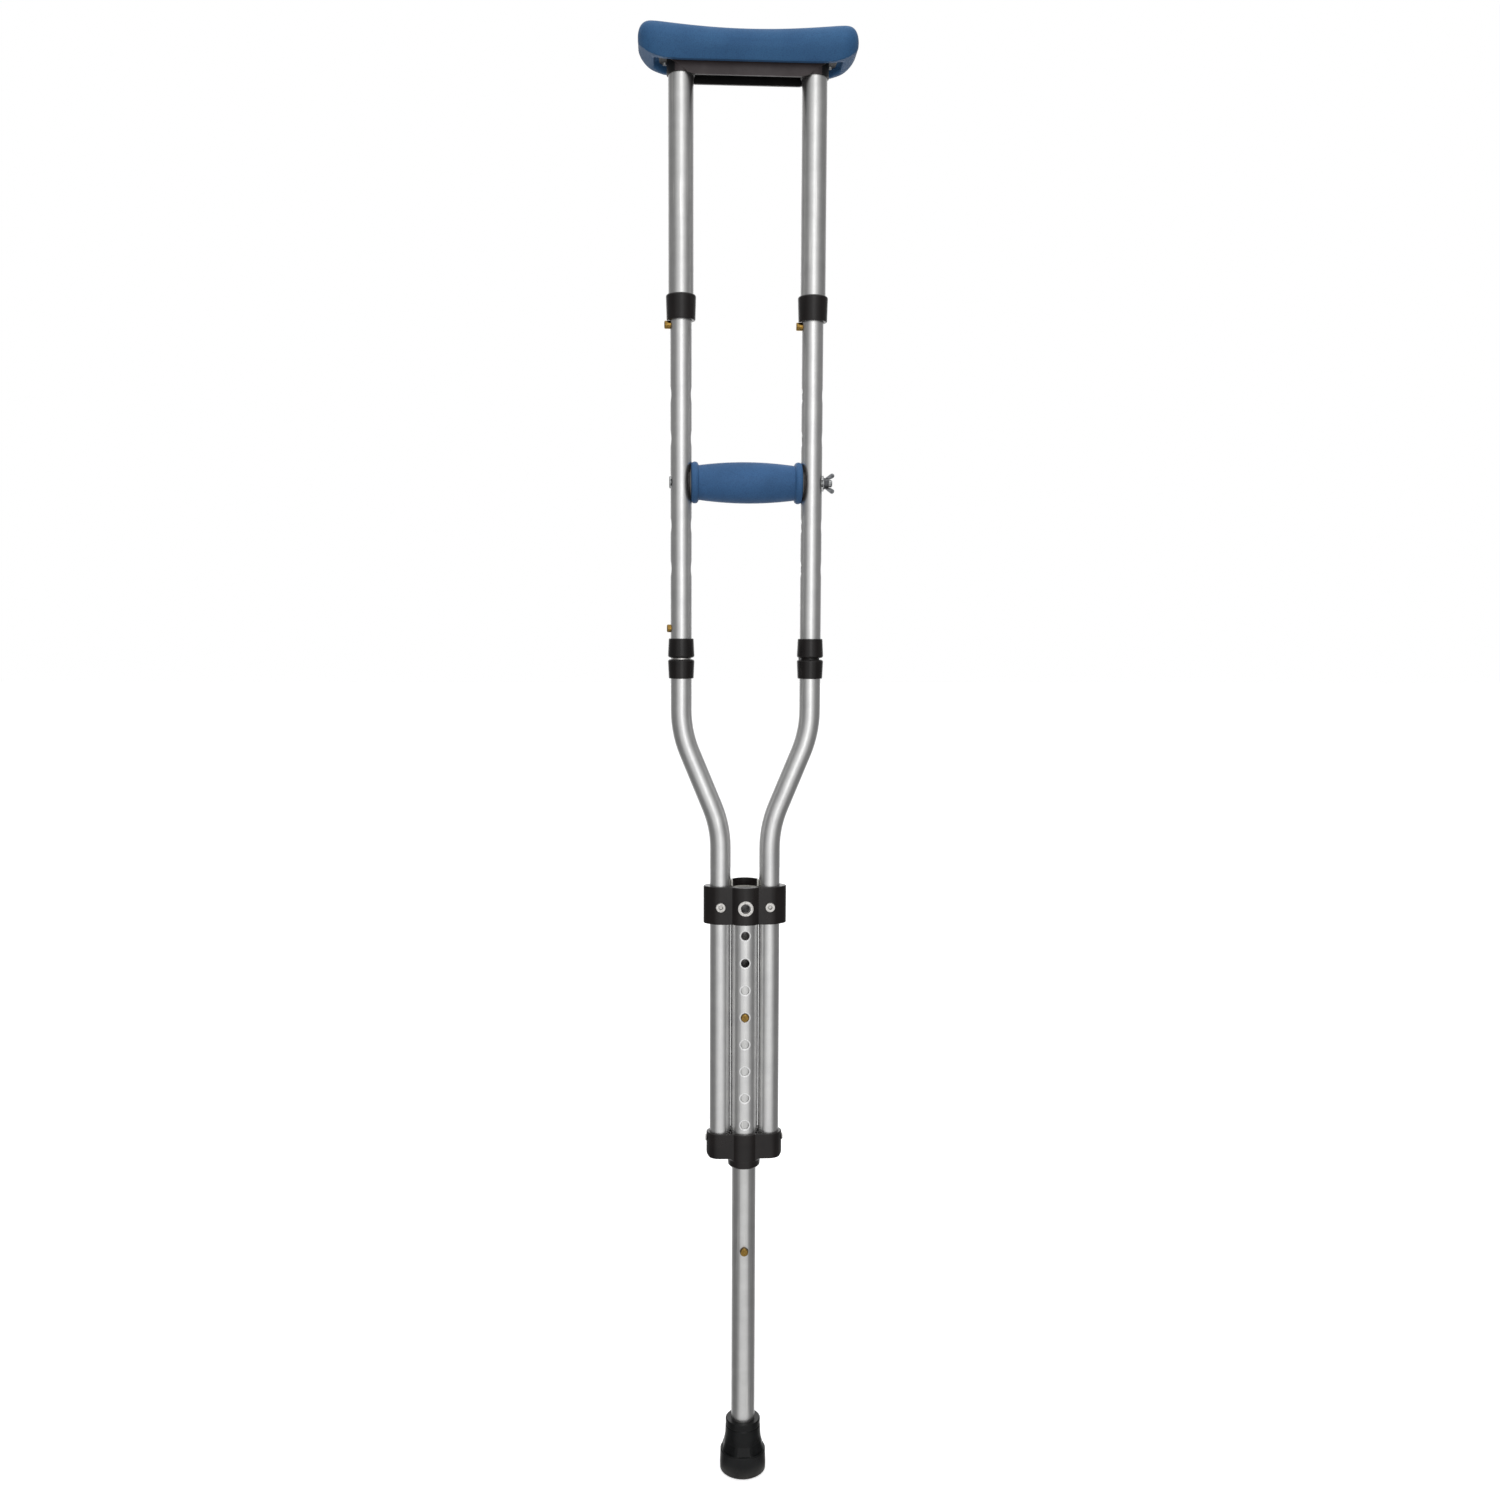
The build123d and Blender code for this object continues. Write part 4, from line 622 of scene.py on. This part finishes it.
rubber_dust = add(tree, "ShaderNodeMix", {
    "Factor": dusty.outputs["Value"], "A": rubber_base.outputs[2], "B": linear("#8A857E")},
    data_type="RGBA")
rubber_rough = add(tree, "ShaderNodeMapRange", {
    "Value": bloom.outputs["Fac"], "From Min": 0.3, "From Max": 0.7,
    "To Min": 0.24, "To Max": 0.4})
rubber_bump = add(tree, "ShaderNodeBump", {
    "Height": pores.outputs["Fac"], "Strength": 0.4, "Distance": 0.06 * MM})
wire_up(tree, shader, rubber_dust, rubber_rough, rubber_bump)
shader.inputs["IOR"].default_value = 1.52
shader.inputs["Specular IOR Level"].default_value = 0.2
give(rubber, "foot_tip")

# %% [markdown]
# ## Blue vinyl skin
# Pad and grip have the same dipped vinyl skin over foam. It is a dusty, slightly greyish blue
# with a leather-like pebble of about 0.8 mm, and nearly matt. The colour drifts a little,
# darker where hands and clothes have rubbed dirt into the low places.

# %% Vinyl finish
def vinyl_finish(name, colour, soiled, roughness):
    """Vinyl skin: pebble grain, slow drift of colour and low places that are a bit darker."""
    material, tree, shader, place = new_finish(name)
    pebble = add(tree, "ShaderNodeTexVoronoi", {
        "Vector": place, "Scale": per(0.85), "Smoothness": 0.6}, feature="SMOOTH_F1")
    soft = add(tree, "ShaderNodeTexNoise", {
        "Vector": place, "Scale": per(2.6), "Detail": 3.0})
    drift = add(tree, "ShaderNodeTexNoise", {
        "Vector": place, "Scale": per(30), "Detail": 4.0, "Roughness": 0.6})
    tone = add(tree, "ShaderNodeMapRange", {
        "Value": drift.outputs["Fac"], "From Min": 0.35, "From Max": 0.7})
    base = add(tree, "ShaderNodeMix", {
        "Factor": tone.outputs["Result"], "A": linear(colour), "B": linear(soiled)},
        data_type="RGBA")
    low = add(tree, "ShaderNodeMapRange", {
        "Value": pebble.outputs["Distance"], "From Min": 0.35, "From Max": 0.8,
        "To Min": 0.0, "To Max": 0.22})
    grained = add(tree, "ShaderNodeMix", {
        "Factor": low.outputs["Result"], "A": base.outputs[2], "B": linear("#20344D")},
        data_type="RGBA")
    rough = add(tree, "ShaderNodeMapRange", {
        "Value": drift.outputs["Fac"], "From Min": 0.3, "From Max": 0.7,
        "To Min": roughness - 0.05, "To Max": roughness + 0.06})
    pebble_bump = add(tree, "ShaderNodeBump", {
        "Height": pebble.outputs["Distance"], "Strength": 0.3, "Distance": 0.08 * MM},
        invert=True)
    bump = add(tree, "ShaderNodeBump", {
        "Height": soft.outputs["Fac"], "Strength": 0.3, "Distance": 0.2 * MM,
        "Normal": pebble_bump.outputs["Normal"]})
    wire_up(tree, shader, grained, rough, bump)
    shader.inputs["IOR"].default_value = 1.45
    shader.inputs["Specular IOR Level"].default_value = 0.2
    shader.inputs["Sheen Weight"].default_value = 0.03
    return material


pad_vinyl = vinyl_finish("vinyl_skin_blue_pad", "#3F6D9B", "#396390", 0.55)
grip_vinyl = vinyl_finish("vinyl_skin_blue_grip", "#426D9E", "#3B628E", 0.5)
for piece, finish in ((pad, pad_vinyl), (grip, grip_vinyl)):
    piece.data.materials.clear()
    piece.data.materials.append(finish)
    print(finish.name, "on", piece.name)

# %% [markdown]
# ## Floor, light and camera
# The crutch stands on a plain, pale floor in a white studio. A round metal tube mirrors the
# whole room, so the room decides how it looks: a bright wall in front gives the stripe down
# the middle of each tube, darker side walls give the grey bands beside it, and the white
# background gives the pale edges. The sky here is that room, and soft lamps add the rest.

# %% The floor
FLOOR_GLOW = 0.5  # the floor's own light where the camera sees it, which keeps it pale
FLOOR_FRONT = 0.84  # what the tubes mirror of the floor in front and behind
FLOOR_SIDE = 0.22  # and to the sides
FLOOR_BOUNCE = 0.62  # the share of that which lights matt surfaces
FLOOR_SIZE = 30
STRIP_START = 0.02
STRIP_EDGES = (0.3, 1.6)
floor_white, floor_tree, floor_shader, floor_place = new_finish("studio_paper_white")
floor_grain = add(floor_tree, "ShaderNodeTexNoise", {"Vector": floor_place, "Scale": per(400)})
floor_tone = add(floor_tree, "ShaderNodeMix", {
    "Factor": floor_grain.outputs["Fac"], "A": linear("#F8F8F8"), "B": linear("#F3F3F3")},
    data_type="RGBA")
floor_tree.links.new(floor_tone.outputs[2], floor_shader.inputs["Base Color"])
floor_shader.inputs["Roughness"].default_value = 0.9
floor_shader.inputs["Emission Color"].default_value = linear("#FFFFFF")
floor_shader.inputs["Emission Strength"].default_value = FLOOR_GLOW
# The crutch mirrors a lit strip of floor in front and behind, and darker floor to the sides.
# The strip spreads like a wedge: its soft edges go by metres across for each metre along.
floor_axes = add(floor_tree, "ShaderNodeSeparateXYZ", {"Vector": floor_place})
floor_across, floor_along = [
    add(floor_tree, "ShaderNodeMath", {0: floor_axes.outputs[axis]}, operation="ABSOLUTE")
    for axis in ("X", "Y")]
floor_deep = add(floor_tree, "ShaderNodeMath", {
    0: floor_along.outputs["Value"], 1: STRIP_START})
floor_ratio = add(floor_tree, "ShaderNodeMath", {
    0: floor_across.outputs["Value"], 1: floor_deep.outputs["Value"]}, operation="DIVIDE")
floor_strip = add(floor_tree, "ShaderNodeMapRange", {
    "Value": floor_ratio.outputs["Value"],
    "From Min": STRIP_EDGES[0], "From Max": STRIP_EDGES[1],
    "To Min": FLOOR_FRONT, "To Max": FLOOR_SIDE}, interpolation_type="SMOOTHSTEP")

# %% The floor is lit one way where it is seen, and another where it is mirrored
floor_path = add(floor_tree, "ShaderNodeLightPath")
floor_share = add(floor_tree, "ShaderNodeMapRange", {
    "Value": floor_path.outputs["Is Diffuse Ray"], "To Min": 1.0, "To Max": FLOOR_BOUNCE})
floor_level = add(floor_tree, "ShaderNodeMath", {
    0: floor_strip.outputs["Result"], 1: floor_share.outputs["Result"]}, operation="MULTIPLY")
floor_mirror = add(floor_tree, "ShaderNodeEmission", {"Strength": floor_level.outputs["Value"]})
floor_both = add(floor_tree, "ShaderNodeMixShader", {
    0: floor_path.outputs["Is Camera Ray"], 1: floor_mirror.outputs["Emission"],
    2: floor_shader.outputs["BSDF"]})
floor_output = next(node for node in floor_tree.nodes if node.type == "OUTPUT_MATERIAL")
floor_tree.links.new(floor_both.outputs["Shader"], floor_output.inputs["Surface"])
clear_selection()
bpy.ops.mesh.primitive_plane_add(size=FLOOR_SIZE, location=(0, 0, 0))
floor = bpy.context.object
floor.name = "floor"
floor.data.materials.append(floor_white)
print("floor glows at", FLOOR_GLOW)

# %% The sky that stands for the room's walls
WALL_FRONT = 0.85
WALL_SIDE = 0.27
WALL_EDGES = (0.4, 0.88)  # how far a direction points sideways, from 0 to 1
world = bpy.data.worlds.new("studio")
bpy.context.scene.world = world
world.use_nodes = True
room = world.node_tree
room.nodes.clear()
look = add(room, "ShaderNodeTexCoord").outputs["Generated"]
directions = add(room, "ShaderNodeSeparateXYZ", {"Vector": look})
sideways = add(room, "ShaderNodeMath", {0: directions.outputs["X"]}, operation="ABSOLUTE")
walls = add(room, "ShaderNodeMapRange", {
    "Value": sideways.outputs["Value"], "From Min": WALL_EDGES[0], "From Max": WALL_EDGES[1],
    "To Min": WALL_FRONT, "To Max": WALL_SIDE}, interpolation_type="SMOOTHSTEP")
seen = add(room, "ShaderNodeLightPath").outputs["Is Camera Ray"]
level = add(room, "ShaderNodeMix", {
    "Factor": seen, "A": walls.outputs["Result"], "B": 1.0}, data_type="FLOAT")
sky = add(room, "ShaderNodeBackground", {
    "Color": linear("#FFFFFF"), "Strength": level.outputs[0]})
add(room, "ShaderNodeOutputWorld", {"Surface": sky.outputs["Background"]})
print("walls", WALL_FRONT, "in front,", WALL_SIDE, "at the sides")

# %% Soft lamps
def soft_lamp(name, place, aim, size, power):
    """A rectangular soft light at a place, turned towards the point it aims at."""
    lamp = bpy.data.lights.new(name, "AREA")
    lamp.shape = "RECTANGLE"
    lamp.size, lamp.size_y = size
    lamp.energy = power
    holder = bpy.data.objects.new(name, lamp)
    bpy.context.scene.collection.objects.link(holder)
    holder.location = place
    towards = [a - b for a, b in zip(aim, place)]
    flat = math.hypot(towards[0], towards[1])
    holder.rotation_euler = (math.atan2(flat, -towards[2]), 0,
                             math.atan2(-towards[0], towards[1]))
    print(name, power, "W")


soft_lamp("lamp_overhead", (0, -0.3, 3.2), (0, 0, 0.6), (3.0, 3.0), 16)
soft_lamp("lamp_front", (0.2, -3.0, 1.4), (0, 0, 0.9), (1.3, 2.8), 12)
soft_lamp("lamp_back", (0.0, 3.0, 1.3), (0, 0, 0.9), (2.4, 2.6), 18)

# %% The camera
# A slightly wide lens below chest height, a little left of straight in front, tipped down.
LENS_MM = 33.65
SENSOR_MM = 36
DISTANCE = 1.2675
EYE_HEIGHT = 0.812
AROUND = math.radians(-3.0)
TIPPED = math.radians(5.58)
LEAN = math.radians(0.24)
AIM_ACROSS = math.radians(-0.19)
eye = bpy.data.cameras.new("camera")
eye.lens = LENS_MM
eye.sensor_width = SENSOR_MM
camera = bpy.data.objects.new("camera", eye)
bpy.context.scene.collection.objects.link(camera)
camera.location = (DISTANCE * math.sin(AROUND), -DISTANCE * math.cos(AROUND), EYE_HEIGHT)
camera.rotation_mode = "QUATERNION"
turned = Quaternion((0, 0, 1), AROUND + AIM_ACROSS)
tipped = Quaternion((1, 0, 0), math.pi / 2 - TIPPED)
leaned = Quaternion((0, 0, 1), LEAN)
camera.rotation_quaternion = turned @ tipped @ leaned
bpy.context.scene.camera = camera
bpy.context.scene.view_settings.view_transform = "Standard"
print("camera at", [round(v, 3) for v in camera.location])
